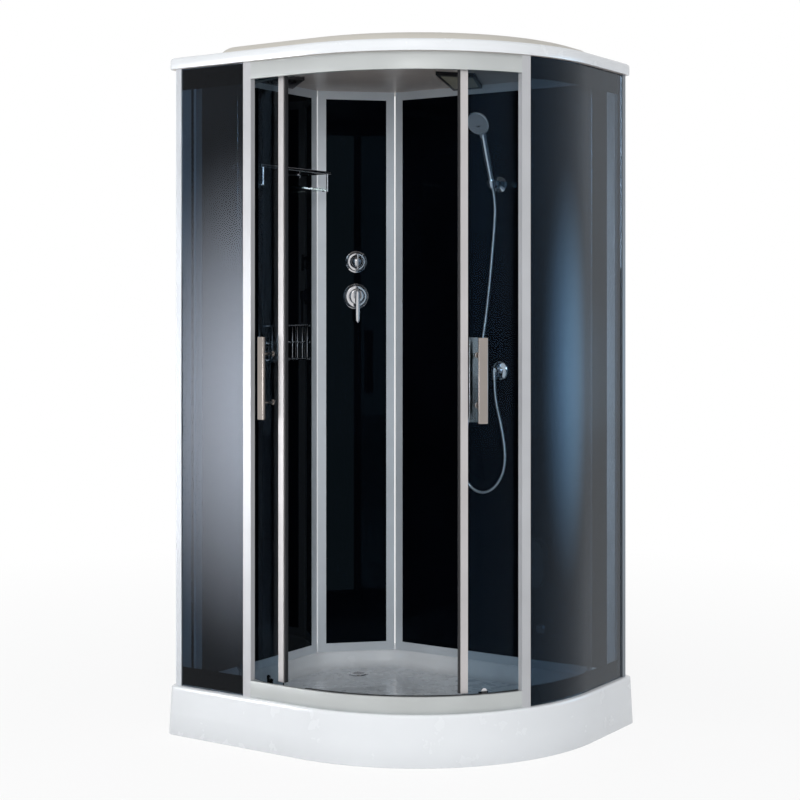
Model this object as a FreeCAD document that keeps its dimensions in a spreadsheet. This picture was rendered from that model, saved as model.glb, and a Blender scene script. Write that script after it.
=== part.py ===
"""Steam shower cabin on an offset quadrant tray.

Millimetres, +Z up, origin at the centre of the footprint on the floor.
The left wall is on -X, the back wall on +Y, and the curved front faces -Y and +X.
Angles on the curved front are measured at the arc's centre, from -Y towards +X.
"""
import FreeCAD
import Part
import math
import os

import Sketcher
from FreeCAD import Placement, Rotation, Vector

DIMENSIONS = {
    # tray
    "tray_width": 1146,
    "tray_depth": 934,
    "tray_height": 150,
    "tray_radius": 638,
    "tray_draft": 6,
    "tray_lip": 5,
    "corner_radius": 22,
    "skirt_wall": 8,
    "left_wall_inset": 96,
    "back_wall_inset": 90,
    "basin_margin": 3,
    "basin_radius": 550,
    "basin_floor": 102,
    "basin_step": 16,
    "basin_slope": 34,
    "basin_cove": 6,
    "floor_thickness": 7,
    "drain_x": -292,
    "drain_y": 168,
    "drain_radius": 24,
    "drain_flange": 33,
    "trap_radius": 40,
    "trap_depth": 58,
    "waste_radius": 20,
    "waste_length": 30,
    "beam_end": 30,
    "front_beam": 830,
    "front_beam_inset": 150,
    "back_beam_inset": 130,
    "beam_side": 25,
    "beam_wall": 2,
    "foot_radius": 22,
    "foot_pad": 8,
    "stud_radius": 5,
    # walls and column
    "ceiling_height": 2055,
    "column_leg": 191,
    "corner_gap": 3,
    "frame_width": 28,
    "frame_depth": 18,
    "frame_proud": 2,
    "wall_glass": 6,
    "glass_seat": 9,
    "seat_gap": 0.2,
    "post_lip": 20,
    "post_leg": 41,
    # curved front
    "face_inset": 18,
    "pane_inset": 4,
    "pane_glass": 5,
    "jamb_width": 29,
    "jamb_depth": 20,
    "jamb_web": 3,
    "left_jamb_reach": 188.4,
    "right_jamb_start_angle": 62.95,
    "right_jamb_span_angle": 2.79,
    # head and sill rails
    "head_height": 52,
    "sill_height": 50,
    "fascia": 4,
    "rail_lip": 11,
    "rail_web": 4,
    "track_start_angle": -40,
    "track_span_angle": 146,
    "track_gap": 7,
    "track_drop": 45,
    "ledge_gap": 8,
    "ledge_width": 22,
    "ledge": 4,
    "guide_rib": 3,
    "guide_height": 14,
    # doors
    "door_set_back": 34,
    "door_glass": 5,
    "door_bottom": 186,
    "door_top_gap": 19,
    "left_lead_angle": -8.4,
    "left_span_angle": 30,
    "right_lead_angle": 45.45,
    "right_span_angle": 54,
    "stile_back": 6,
    "stile_front": 6,
    "stile_span_angle": 2.13,
    "stile_bite_angle": 1.4,
    "seal_span_angle": 0.5,
    "handle_back_angle": 5.2,
    "handle_height": 1107,
    "handle_length": 248,
    "handle_width": 28,
    "handle_thick": 9,
    "handle_out": 49,
    "handle_in": 38,
    "standoff_pitch": 145,
    "standoff_radius": 5,
    "rosette_radius": 9,
    "rosette": 3,
    "curve_gap": 0.25,
    "wheel_radius": 12,
    "wheel_width": 10,
    "wheel_gap": 0.3,
    "wheel_set_back": 15,
    "axle_radius": 3,
    "running_gap": 0.05,
    "carrier_width": 30,
    "carrier_lead_angle": 7,
    "carrier_trail_angle": 4,
    # roof
    "roof_skirt": 35,
    "roof_inset": 6,
    "roof_wall": 5,
    "roof_back": 12,
    "ceiling_sheet": 5,
    "dome_height": 36,
    "dome_front": 68,
    "dome_left": 128,
    "dome_side": 178,
    "dome_step": 22,
    # ceiling fittings
    "lamp_x": -48,
    "lamp_width": 111,
    "lamp_length": 346,
    "lamp_shift": 149,
    "lamp_end_width": 79,
    "lamp_end_rise": 105,
    "lamp_depth": 12,
    "lamp_border": 0.16,
    "fan_x": -408,
    "fan_y": -98,
    "fan_depth": 10,
    "fan_duct": 52,
    "fan_wall": 2,
    "fan_height": 26,
    "fan_blade": 14,
    "fan_gap": 4,
    "fan_shaft": 3,
    # controls on the column
    "knob_rise": 118,
    "mixer_height": 1357,
    "knob_plate_radius": 37,
    "mixer_plate_radius": 43.5,
    "plate_thick": 8,
    "knob_radius": 24,
    "knob_length": 24,
    "cap_radius": 27,
    "cap_length": 30,
    "lever_rise": 21,
    "lever_pin": 1.6,
    "lever_length": 103.5,
    "lever_width": 15,
    "lever_thick": 9,
    "valve_width": 100,
    "valve_depth": 44,
    "tail_radius": 10.5,
    "tail_length": 30,
    "spindle_radius": 8,
    "tip_radius": 4,
    "tip_length": 6,
    # steam
    "boiler_side": 96,
    "boiler_height": 300,
    "boiler_base": 172,
    "outlet_x": 262,
    "outlet_width": 90,
    "outlet_height": 156,
    "outlet_depth": 34,
    "outlet_base": 415,
    "jet_x": 281,
    "jet_height": 281,
    "jet_radius": 17,
    # hand shower
    "shower_x": 130,
    "elbow_drop": 610,
    "elbow_flange": 31,
    "elbow_out": 35,
    "elbow_pipe": 10,
    "holder_drop": 333,
    "holder_out": 52,
    "holder_flange": 26,
    "hose_diameter": 12,
    "nut_radius": 13,
    "nut_bore": 10.2,
    "nut_length": 15,
    "handle_tilt": 20,
    "grip_radius": 12,
    "grip_length": 150,
    "head_radius": 40,
    "head_thick": 20,
    "head_reach": 207,
    "head_nod": 12,
    "head_forward": 24,
    "ring_radius": 37,
    "ring_thick": 6,
    # shelf and basket on the left wall
    "shelf_drop": 350,
    "shelf_front": -268,
    "shelf_back": 98,
    "shelf_reach": 118,
    "shelf_glass": 6,
    "rail_height": 58,
    "rail_radius": 5,
    "basket_front": -218,
    "basket_back": 18,
    "basket_drop": 553,
    "basket_height": 108,
    "basket_reach": 104,
    "wire_radius": 2.6,
}

doc = FreeCAD.newDocument("steam_shower_cabin")
sheet = doc.addObject("Spreadsheet::Sheet", "Sizes")
subparts = []


class Size:
    """A length or an angle: its number, and the sheet formula that gives it."""

    def __init__(self, value, text):
        self.value = value
        self.text = text

    def __add__(self, other):
        other = as_size(other)
        return Size(self.value + other.value, f"({self.text} + {other.text})")

    def __sub__(self, other):
        other = as_size(other)
        return Size(self.value - other.value, f"({self.text} - {other.text})")

    def __mul__(self, other):
        other = as_size(other)
        return Size(self.value * other.value, f"({self.text} * {other.text})")

    def __truediv__(self, other):
        other = as_size(other)
        return Size(self.value / other.value, f"({self.text} / {other.text})")

    def __neg__(self):
        return Size(-self.value, f"(0 - {self.text})")


def as_size(number):
    """A bare number as a Size."""
    if isinstance(number, Size):
        return number
    return Size(number, f"{number:.6f}" if number >= 0 else f"(0 - {-number:.6f})")


def cosine(angle):
    """The cosine of an angle in degrees."""
    return Size(math.cos(math.radians(angle.value)), f"cos({angle.text})")


def sine(angle):
    """The sine of an angle in degrees."""
    return Size(math.sin(math.radians(angle.value)), f"sin({angle.text})")


def root(number):
    """The square root."""
    return Size(math.sqrt(number.value), f"sqrt({number.text})")


def fill_sheet():
    """Write every driving dimension into the sheet and hand back the named sizes."""
    sizes = {}
    for row, (name, number) in enumerate(DIMENSIONS.items(), start=1):
        sheet.set(f"A{row}", name)
        sheet.set(f"B{row}", str(number))
        sheet.setAlias(f"B{row}", name)
    doc.recompute()
    for name in DIMENSIONS:
        sizes[name] = Size(float(sheet.get(name)), f"Sizes.{name}")
    return sizes


S = fill_sheet()
ZERO = as_size(0)
QUARTER = as_size(90)
HALF_RIGHT = as_size(45)
UP = Vector(0, 0, 1)

# places that many pieces share
left_x = -S["tray_width"] / 2
right_x = S["tray_width"] / 2
front_y = -S["tray_depth"] / 2
back_y = S["tray_depth"] / 2
arc_x = right_x - S["tray_radius"]
arc_y = front_y + S["tray_radius"]
left_face = left_x + S["left_wall_inset"]
back_face = back_y - S["back_wall_inset"]
face_radius = S["tray_radius"] - S["face_inset"]
pane_outer = face_radius - S["pane_inset"]
pane_inner = pane_outer - S["pane_glass"]
jamb_inner = face_radius - S["jamb_depth"]
wall_height = S["ceiling_height"] - S["tray_height"]
column_length = S["column_leg"] * math.sqrt(2)
column_x = left_face + S["column_leg"] / 2
column_y = back_face - S["column_leg"] / 2
frame_back = S["frame_depth"] - S["frame_proud"]
post_back = frame_back + S["post_leg"]
head_bottom = S["ceiling_height"] - S["head_height"]
track_bottom = S["ceiling_height"] - S["track_drop"]
ledge_top = track_bottom + S["ledge"]
sill_web_top = S["tray_height"] + S["rail_web"]
door_inner = face_radius - S["door_set_back"]
door_outer = door_inner + S["door_glass"]
door_top = S["ceiling_height"] - S["door_top_gap"]
stile_inner = door_inner - S["stile_back"]
stile_outer = door_outer + S["stile_front"]
track_outer = door_outer + S["track_gap"]
ledge_outer = door_inner - S["ledge_gap"]
track_inner = ledge_outer - S["ledge_width"]
wheel_height = ledge_top + S["wheel_radius"] + S["wheel_gap"]
wheel_middle = door_inner - S["wheel_set_back"]
roof_top = S["ceiling_height"] + S["roof_skirt"]
knob_height = S["mixer_height"] + S["knob_rise"]
holder_height = S["ceiling_height"] - S["holder_drop"]
elbow_height = holder_height - S["elbow_drop"]
shelf_height = S["ceiling_height"] - S["shelf_drop"]
basket_bottom = shelf_height - S["basket_drop"]


def keep(item, label):
    """Name a finished piece and put it on the list of sub-parts."""
    item.Label = label
    subparts.append(item)
    return item


def bind(item, **sizes):
    """Tie properties of an object to the sheet."""
    for name, size in sizes.items():
        item.setExpression(name, as_size(size).text)
    return item


def place(item, x=ZERO, y=ZERO, z=ZERO, turn=None, rotation=None):
    """Put an object at a point tied to the sheet, turned about +Z or by a fixed rotation."""
    x, y, z = as_size(x), as_size(y), as_size(z)
    if turn is not None:
        rotation = Rotation(UP, turn.value)
    item.Placement = Placement(Vector(x.value, y.value, z.value), rotation or Rotation())
    for axis, size in zip("xyz", (x, y, z)):
        item.setExpression(f"Placement.Base.{axis}", size.text)
    if turn is not None:
        item.setExpression("Placement.Rotation.Angle", turn.text)
    return item


def box(length, width, height, x=ZERO, y=ZERO, z=ZERO, turn=None):
    """A block from its lowest corner."""
    block = doc.addObject("Part::Box", "Block")
    bind(block, Length=length, Width=width, Height=height)
    return place(block, x, y, z, turn)


def rod(radius, length, x=ZERO, y=ZERO, z=ZERO, axis=UP):
    """A round bar that starts at a point and runs along an axis."""
    bar = doc.addObject("Part::Cylinder", "Bar")
    bind(bar, Radius=radius, Height=length)
    return place(bar, x, y, z, rotation=Rotation(UP, axis))


def join(*pieces):
    """One solid from several."""
    union = doc.addObject("Part::MultiFuse", "Union")
    union.Shapes = list(pieces)
    return union


def carve(base, *tools):
    """The base with the tools cut away."""
    for tool in tools:
        cut = doc.addObject("Part::Cut", "Carved")
        cut.Base = base
        cut.Tool = tool
        base = cut
    return base


def group(*pieces):
    """Separate solids in one sub-part."""
    together = doc.addObject("Part::Compound", "Group")
    together.Links = list(pieces)
    return together


def sector(inner, outer, low, height, start, span):
    """A curved block about the arc's centre, from an angle and over a span."""
    whole = doc.addObject("Part::Cylinder", "Outer")
    bind(whole, Radius=outer, Height=height, Angle=span)
    hollow = doc.addObject("Part::Cylinder", "Inner")
    bind(hollow, Radius=inner, Height=as_size(height) + 2)
    place(hollow, z=-1)
    return place(carve(whole, hollow), arc_x, arc_y, low, turn=as_size(start) - QUARTER)


def on_arc(item, angle, z=ZERO):
    """Move a piece drawn with +X outwards to an angle of the curved front."""
    return place(item, arc_x, arc_y, z, turn=as_size(angle) - QUARTER)


def on_column(item, z=ZERO):
    """Move a piece drawn with +X into the cabin to the middle of the column's face."""
    return place(item, column_x, column_y, z, turn=-HALF_RIGHT)


def on_back_wall(item, x, z=ZERO):
    """Move a piece drawn with +X into the cabin to a place on the back wall's face."""
    return place(item, x, back_face, z, turn=-QUARTER)


def new_sketch(body, role, height=None):
    """A sketch on one of the body's own origin planes, raised by a height."""
    sketch = body.newObject("Sketcher::SketchObject", "Outline")
    plane = next(item for item in body.Origin.OriginFeatures if item.Role == role)
    sketch.AttachmentSupport = [(plane, "")]
    sketch.MapMode = "FlatFace"
    if height is not None:
        sketch.AttachmentOffset = Placement(Vector(0, 0, height.value), Rotation())
        sketch.setExpression("AttachmentOffset.Base.z", height.text)
    return sketch


def fix_coordinate(sketch, kind, edge, point, size):
    """Hold one coordinate of a sketch point to the sheet."""
    if abs(size.value) < 1e-7:
        axis = -2 if kind == "DistanceX" else -1
        sketch.addConstraint(Sketcher.Constraint("PointOnObject", edge, point, axis))
        return
    if size.value > 0:
        constraint = Sketcher.Constraint(kind, -1, 1, edge, point, size.value)
    else:
        constraint = Sketcher.Constraint(kind, edge, point, -1, 1, -size.value)
        size = -size
    number = sketch.addConstraint(constraint)
    sketch.setExpression(f"Constraints[{number}]", size.text)


def draw(sketch, corners, centres=None):
    """Draw a closed outline through corners; centres gives the edges that are arcs, anticlockwise."""
    centres = centres or {}
    corners = [(as_size(x), as_size(y)) for x, y in corners]
    points = [Vector(x.value, y.value, 0) for x, y in corners]
    last = len(points)
    for edge, start in enumerate(points):
        end = points[(edge + 1) % last]
        if edge in centres:
            middle = Vector(as_size(centres[edge][0]).value, as_size(centres[edge][1]).value, 0)
            first = math.atan2(start.y - middle.y, start.x - middle.x)
            final = math.atan2(end.y - middle.y, end.x - middle.x)
            circle = Part.Circle(middle, UP, (start - middle).Length)
            sketch.addGeometry(Part.ArcOfCircle(circle, first, final))
        else:
            sketch.addGeometry(Part.LineSegment(start, end))
    for edge in range(last):
        after = (edge + 1) % last
        sketch.addConstraint(Sketcher.Constraint("Coincident", edge, 2, after, 1))
    for edge, (x, y) in enumerate(corners):
        before = (edge - 1) % last
        if before in centres:
            middle = centres[before]
            across = abs(points[edge].x - as_size(middle[0]).value)
            along = abs(points[edge].y - as_size(middle[1]).value)
            if across > along:
                fix_coordinate(sketch, "DistanceY", edge, 1, y)
            else:
                fix_coordinate(sketch, "DistanceX", edge, 1, x)
        else:
            fix_coordinate(sketch, "DistanceX", edge, 1, x)
            fix_coordinate(sketch, "DistanceY", edge, 1, y)
    for edge, (x, y) in centres.items():
        fix_coordinate(sketch, "DistanceX", edge, 3, as_size(x))
        fix_coordinate(sketch, "DistanceY", edge, 3, as_size(y))
    return sketch


def pad(corners, height, centres=None):
    """A body whose plan is an outline and whose height is a size."""
    body = doc.addObject("PartDesign::Body", "Body")
    sketch = draw(new_sketch(body, "XY_Plane"), corners, centres)
    feature = body.newObject("PartDesign::Pad", "Pad")
    feature.Profile = sketch
    bind(feature, Length=height)
    return body


def turned(corners, centres=None):
    """A body of revolution about +Z from its half section in radius and height."""
    body = doc.addObject("PartDesign::Body", "Body")
    sketch = draw(new_sketch(body, "XZ_Plane"), corners, centres)
    feature = body.newObject("PartDesign::Revolution", "Revolution")
    feature.Profile = sketch
    feature.ReferenceAxis = (sketch, ["V_Axis"])
    feature.Angle = 360
    return body


def lofted(sections, kind="PartDesign::AdditiveLoft", body=None):
    """A body through outlines at rising heights; each section is (height, corners, centres)."""
    if body is None:
        body = doc.addObject("PartDesign::Body", "Body")
    sketches = [
        draw(new_sketch(body, "XY_Plane", as_size(height)), corners, centres)
        for height, corners, centres in sections
    ]
    feature = body.newObject(kind, "Loft")
    feature.Profile = sketches[0]
    feature.Sections = sketches[1:]
    feature.Ruled = True
    return body


def lay_along(direction):
    """The rotation that carries +Z onto a direction."""
    return Rotation(UP, direction)


def plan(left, front, back, corner):
    """The cabin's outline, drawn in from the tray's edges by the given insets."""
    corner = as_size(corner)
    low_x = left_x + left
    low_y = front_y + front
    high_x = right_x - front
    high_y = back_y - back
    corners = [
        (low_x + corner, low_y),
        (arc_x, low_y),
        (high_x, arc_y),
        (high_x, high_y - corner),
        (high_x - corner, high_y),
        (low_x + corner, high_y),
        (low_x, high_y - corner),
        (low_x, low_y + corner),
    ]
    centres = {
        1: (arc_x, arc_y),
        3: (high_x - corner, high_y - corner),
        5: (low_x + corner, high_y - corner),
        7: (low_x + corner, low_y + corner),
    }
    return corners, centres


def basin_plan(inset):
    """The basin's outline: two walls, the column's corner and the curved front."""
    inset = as_size(inset)
    radius = S["basin_radius"] - inset
    low_x = left_face + S["basin_margin"] + inset
    high_y = back_face - S["basin_margin"] - inset
    leg = S["column_leg"] - (S["basin_margin"] + inset) * (2 - math.sqrt(2))
    across = arc_x - low_x
    along = high_y - arc_y
    low_y = arc_y - root(radius * radius - across * across)
    high_x = arc_x + root(radius * radius - along * along)
    corners = [
        (low_x, low_y),
        (high_x, high_y),
        (low_x + leg, high_y),
        (low_x, high_y - leg),
    ]
    return corners, {0: (arc_x, arc_y)}


# ---------------------------------------------------------------- tray

def make_tray():
    """Acrylic tray: drafted skirt, rolled lip, sunk basin and a hollow underside."""
    height = S["tray_height"]
    lip_height = height - S["tray_lip"]
    lip_inset = S["tray_draft"] + S["tray_lip"]
    corner = S["corner_radius"]
    sections = [
        (ZERO, *plan(ZERO, ZERO, ZERO, corner)),
        (lip_height, *plan(S["tray_draft"], S["tray_draft"], S["tray_draft"], corner)),
        (height, *plan(lip_inset, lip_inset, lip_inset, corner)),
    ]
    shell = lofted(sections)
    step = S["basin_step"]
    foot = step + S["basin_slope"]
    basin = lofted([
        (S["basin_floor"], *basin_plan(foot)),
        (S["basin_floor"] + S["basin_cove"], *basin_plan(step)),
        (height + 1, *basin_plan(ZERO)),
    ])
    wall = S["skirt_wall"]
    hollow_top = S["basin_floor"] - S["floor_thickness"]
    hollow = lofted([
        (-1, *plan(wall, wall, wall, corner)),
        (hollow_top, *plan(wall + S["tray_draft"], wall + S["tray_draft"], wall + S["tray_draft"], corner)),
    ])
    drain_hole = rod(S["drain_radius"], height, S["drain_x"], S["drain_y"])
    keep(carve(shell, basin, hollow, drain_hole), "tray")


def beam(length, x, y, z, turn=None):
    """A square steel tube."""
    side = S["beam_side"]
    wall = S["beam_wall"]
    outside = box(length, side, side, ZERO, ZERO, ZERO)
    inside = box(length + 2, side - wall * 2, side - wall * 2, -1, wall, wall)
    return place(carve(outside, inside), x, y, z, turn)


def make_support_frame():
    """Two long steel tubes under the basin."""
    z = S["basin_floor"] - S["floor_thickness"] - S["beam_side"]
    x = left_x + S["beam_end"]
    front = beam(S["front_beam"], x, front_y + S["front_beam_inset"], z)
    back = beam(S["tray_width"] - S["beam_end"] * 2, x, back_y - S["back_beam_inset"], z)
    keep(group(front, back), "tray_support_beams")
    return z


def make_feet(beam_bottom):
    """Six screw feet that carry the beams: pad, stud and lock nut."""
    feet = []
    half = S["beam_side"] / 2
    start = left_x + S["beam_end"] + S["foot_radius"]
    rows = (
        (front_y + S["front_beam_inset"] + half, S["front_beam"]),
        (back_y - S["back_beam_inset"] + half, S["tray_width"] - S["beam_end"] * 2),
    )
    for y, length in rows:
        for share in (0, 0.5, 1):
            x = start + (length - S["foot_radius"] * 2) * share
            disc = rod(S["foot_radius"], S["foot_pad"], x, y)
            stud = rod(S["stud_radius"], beam_bottom, x, y)
            nut = rod(S["stud_radius"] * 2, S["foot_pad"], x, y, beam_bottom - S["foot_pad"])
            feet.append(join(disc, stud, nut))
    keep(group(*feet), "levelling_feet")


def make_drain():
    """Chrome grate in the basin floor and the trap that hangs under it."""
    floor = S["basin_floor"]
    flange = S["drain_flange"]
    neck = S["drain_radius"] - 0.3
    dome = 3
    plate = turned([
        (0, -dome * 3), (neck, -dome * 3), (neck, 0), (flange, 0), (flange, 1),
        (flange - dome, dome), (0, dome),
    ])
    place(plate, S["drain_x"], S["drain_y"], floor + 0.1)
    slots = []
    for number in range(-2, 3):
        length = math.sqrt(1 - (number / 3.2) ** 2) * 38
        slot_y = S["drain_y"] + number * 7 - 1.5
        slots.append(box(length, 3, 40, S["drain_x"] - length / 2, slot_y, floor - 20))
    keep(carve(plate, *slots), "drain_grate")

    underside = floor - S["floor_thickness"]
    radius = S["trap_radius"]
    cup = turned([
        (0, 0), (radius, 0), (radius, S["trap_depth"]), (radius + 6, S["trap_depth"]),
        (radius + 6, S["trap_depth"] + 4), (0, S["trap_depth"] + 4),
    ])
    bowl = rod(radius - 3, S["trap_depth"] + 4, z=as_size(3))
    length = S["waste_length"]
    pipe = rod(S["waste_radius"], length + 1, z=-length)
    bore = rod(S["waste_radius"] - 2, length + 6, z=-length - 1)
    trap = carve(join(cup, pipe), bowl, bore)
    place(trap, S["drain_x"], S["drain_y"], underside - S["trap_depth"] - 4)
    keep(trap, "waste_trap")


# ---------------------------------------------------------------- walls and column

def make_panel(name, length, x, y, turn):
    """A glazed wall panel: +X looks into the cabin, +Y runs along it, and it starts at the given point."""
    width = S["frame_width"]
    depth = S["frame_depth"]
    height = wall_height
    seat = S["glass_seat"]
    gap = S["seat_gap"]
    inside = length - width * 2
    edge = width - seat
    pane = box(S["wall_glass"], length - edge * 2, height - edge * 2, -S["wall_glass"], edge, edge)
    slot = box(
        S["wall_glass"] + gap * 2, length - edge * 2 + gap * 2, height - edge * 2 + gap * 2,
        -S["wall_glass"] - gap, edge - gap, edge - gap,
    )
    back = -frame_back
    members = [
        box(depth, width, height, back, ZERO, ZERO),
        box(depth, width, height, back, length - width, ZERO),
        box(depth, inside, width, back, width, ZERO),
        box(depth, inside, width, back, width, height - width),
    ]
    frame = group(*[carve(member, slot) for member in members])
    pane_x, pane_y = rotated(-S["wall_glass"], edge, x, y, turn)
    keep(place(pane, pane_x, pane_y, S["tray_height"] + edge, turn), f"{name}_glass")
    keep(place(frame, x, y, S["tray_height"], turn), f"{name}_frame")


def rotated(along, across, x, y, turn):
    """A local point turned about +Z and moved, as two sizes."""
    return (
        x + along * cosine(turn) - across * sine(turn),
        y + along * sine(turn) + across * cosine(turn),
    )


def make_walls():
    """Left wall, back wall and the 45 degree column between them."""
    gap = S["corner_gap"]
    pane_back = front_y + S["face_inset"] + S["pane_inset"] + S["pane_glass"]
    left_start = pane_back + 2
    left_length = back_face - S["column_leg"] - gap - left_start
    make_panel("left_wall", left_length, left_face, left_start, ZERO)
    back_start = left_face + S["column_leg"] + gap
    back_length = arc_x + pane_inner - 2 - back_start
    make_panel("back_wall", back_length, back_start, back_face, -QUARTER)
    trimmed = column_length - gap * 2
    start = rotated(ZERO, -trimmed / 2, column_x, column_y, -HALF_RIGHT)
    make_panel("column", trimmed, *start, -HALF_RIGHT)


def make_corner_posts():
    """L-shaped posts at the two ends of the front, with a rebate for the fixed panes."""
    lip = S["post_lip"]
    outer = left_face - frame_back - S["post_leg"] - 14
    inner = left_face - frame_back
    front = front_y + S["face_inset"]
    rebate = S["pane_inset"] + S["pane_glass"] + S["seat_gap"]
    back = front + S["post_leg"] + 3
    left_post = pad([
        (outer, front), (outer + lip, front), (outer + lip, front + rebate), (inner, front + rebate),
        (inner, back), (outer, back),
    ], wall_height)
    keep(place(left_post, z=S["tray_height"]), "left_corner_post")
    face = arc_x + face_radius
    wall = back_face + frame_back
    end = wall + S["post_leg"]
    right_post = pad([
        (face, end), (face - S["post_leg"] - 3, end), (face - S["post_leg"] - 3, wall), (face - rebate, wall),
        (face - rebate, end - lip), (face, end - lip),
    ], wall_height)
    keep(place(right_post, z=S["tray_height"]), "right_corner_post")
    return outer + lip, end - lip


# ---------------------------------------------------------------- curved front

def make_fixed_front(left_edge, right_edge):
    """Two fixed panes and the jambs that end them."""
    gap = S["seat_gap"]
    low = S["tray_height"]
    height = wall_height
    jamb_right = arc_x - S["left_jamb_reach"]
    jamb_left = jamb_right - S["jamb_width"]
    web = S["jamb_web"]
    front = arc_y - face_radius
    pane_front = arc_y - pane_outer
    pane_back = arc_y - pane_inner
    outline = [
        (jamb_left, front), (jamb_right, front), (jamb_right, front + S["jamb_depth"]),
        (jamb_left, front + S["jamb_depth"]), (jamb_left, pane_back + gap),
        (jamb_right - web, pane_back + gap),
        (jamb_right - web, pane_front - gap), (jamb_left, pane_front - gap),
    ]
    keep(place(pad(outline, height), z=low), "left_jamb")
    pane_start = left_edge + 0.3
    pane = box(jamb_right - web - 1 - pane_start, S["pane_glass"], height, pane_start, pane_front, low)
    keep(pane, "left_fixed_glass")

    start = S["right_jamb_start_angle"]
    span = S["right_jamb_span_angle"]
    web_angle = web / face_radius * (180 / math.pi)
    body = sector(jamb_inner, face_radius, low, height, start, span)
    slot = sector(pane_inner - gap, pane_outer + gap, low - 1, height + 2, start + web_angle, span)
    keep(carve(body, slot), "right_jamb")
    pane_start = start + web_angle + 0.1
    keep(bent_pane(pane_start, right_edge - 0.3), "right_fixed_glass")


def bent_pane(start, end_y):
    """The bent pane: an arc from an angle to the side, and a flat tail to the corner post."""
    curve = sector(pane_inner, pane_outer, S["tray_height"], wall_height, start, QUARTER - start)
    tail = box(S["pane_glass"], end_y - arc_y, wall_height, arc_x + pane_inner, arc_y, S["tray_height"])
    return join(curve, tail)


def make_rail(name, is_head):
    """Head or sill rail: a fascia that follows the front, and the round track behind it."""
    height = S["head_height"] if is_head else S["sill_height"]
    low = head_bottom if is_head else S["tray_height"]
    web = S["rail_web"]
    web_low = S["ceiling_height"] - web if is_head else S["tray_height"]
    lip_low = low if is_head else low + height - 3
    fascia_inner = face_radius - S["fascia"]
    arc_end = S["right_jamb_start_angle"]
    straight = S["left_jamb_reach"]
    front = arc_y - face_radius
    pieces = [
        box(straight, S["fascia"], height, arc_x - straight, front, low),
        box(straight, S["rail_lip"], 3, arc_x - straight, front, lip_low),
        sector(fascia_inner, face_radius, low, height, ZERO, arc_end),
        sector(face_radius - S["rail_lip"], face_radius, lip_low, 3, ZERO, arc_end),
        sector(track_outer, face_radius, web_low, web, ZERO, arc_end),
        sector(track_inner, track_outer, web_low, web, S["track_start_angle"], S["track_span_angle"]),
    ]
    start, span = S["track_start_angle"], S["track_span_angle"]
    if is_head:
        drop = S["track_drop"]
        pieces.append(sector(track_inner, track_inner + S["fascia"], track_bottom, drop, start, span))
        pieces.append(sector(track_inner, ledge_outer, track_bottom, S["ledge"], start, span))
    else:
        rib = S["guide_rib"]
        rib_height = S["guide_height"] + web
        pieces.append(sector(stile_inner, stile_inner + rib, low, rib_height, start, span))
        pieces.append(sector(track_outer - rib, track_outer, low, rib_height, start, span))
    keep(join(*pieces), name)


# ---------------------------------------------------------------- doors

def make_handle_bar(prefix, side, angle, radius):
    """A flat bar with its two round standoffs, on one side of the door glass."""
    outside = side == "outer"
    height = S["handle_length"]
    low = S["handle_height"] - height / 2
    bar = box(S["handle_thick"], S["handle_width"], height, radius, -S["handle_width"] / 2, low)
    pieces = [bar]
    for sign in (-0.5, 0.5):
        z = S["handle_height"] + S["standoff_pitch"] * sign
        if outside:
            glass = door_outer
            post = rod(S["standoff_radius"], radius - glass + 1, glass, ZERO, z, Vector(1, 0, 0))
            disc = rod(S["rosette_radius"], S["rosette"], glass, ZERO, z, Vector(1, 0, 0))
        else:
            glass = door_inner
            start = radius + S["handle_thick"] - 1
            post = rod(S["standoff_radius"], glass - start - 1, start, ZERO, z, Vector(1, 0, 0))
            disc_start = glass - S["rosette"] - S["curve_gap"]
            disc = rod(S["rosette_radius"], S["rosette"], disc_start, ZERO, z, Vector(1, 0, 0))
        pieces.extend([post, disc])
    keep(on_arc(join(*pieces), angle), f"{prefix}_handle_{side}")


def make_carriers(prefix, angles):
    """Hangers with axles at the head and guide shoes at the sill, screwed through the glass."""
    pieces = []
    width = S["carrier_width"]
    glass = door_inner
    plate = 3
    out = Vector(1, 0, 0)
    for angle in angles:
        inside = glass - S["curve_gap"]
        clamp = box(plate, width, 26, inside - plate, -width / 2, wheel_height - 13)
        axle_start = wheel_middle - S["wheel_width"] / 2 - 2
        axle = rod(S["axle_radius"], inside - axle_start - 1, axle_start, ZERO, wheel_height, out)
        head = rod(S["axle_radius"] + 2, 1.7, axle_start, ZERO, wheel_height, out)
        spacer_start = wheel_middle + S["wheel_width"] / 2 + 0.3
        spacer = rod(S["axle_radius"] + 2, inside - 1 - spacer_start, spacer_start, ZERO, wheel_height, out)
        pieces.append(on_arc(join(clamp, axle, head, spacer), angle))
        washer = rod(S["rosette_radius"], plate, door_outer, ZERO, wheel_height, out)
        pieces.append(on_arc(group(washer), angle))
        shoe_low = sill_web_top + 0.4
        shoe = box(8, width, S["door_bottom"] - shoe_low + 16, glass - 2, -width / 2, shoe_low)
        saddle = box(10, width + 2, 40, inside, -width / 2 - 1, S["door_bottom"])
        pieces.append(on_arc(carve(shoe, saddle), angle))
        button_z = S["door_bottom"] + 18
        button = rod(S["rosette_radius"], plate, door_outer, ZERO, button_z, out)
        pieces.append(on_arc(group(button), angle))
    keep(group(*pieces), f"{prefix}_roller_carriers")


def make_wheel(label, angle):
    """A grooved roller on its axle."""
    radius = S["wheel_radius"]
    width = S["wheel_width"]
    bore = S["axle_radius"] + S["running_gap"]
    wheel = turned([
        (bore, 0), (radius - 1, 0), (radius, 1), (radius, width - 1), (radius - 1, width), (bore, width),
    ])
    x = arc_x + (wheel_middle - width / 2) * sine(angle)
    y = arc_y - (wheel_middle - width / 2) * cosine(angle)
    outward = Vector(math.sin(math.radians(angle.value)), -math.cos(math.radians(angle.value)), 0)
    keep(place(wheel, x, y, wheel_height, rotation=lay_along(outward)), label)


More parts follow.
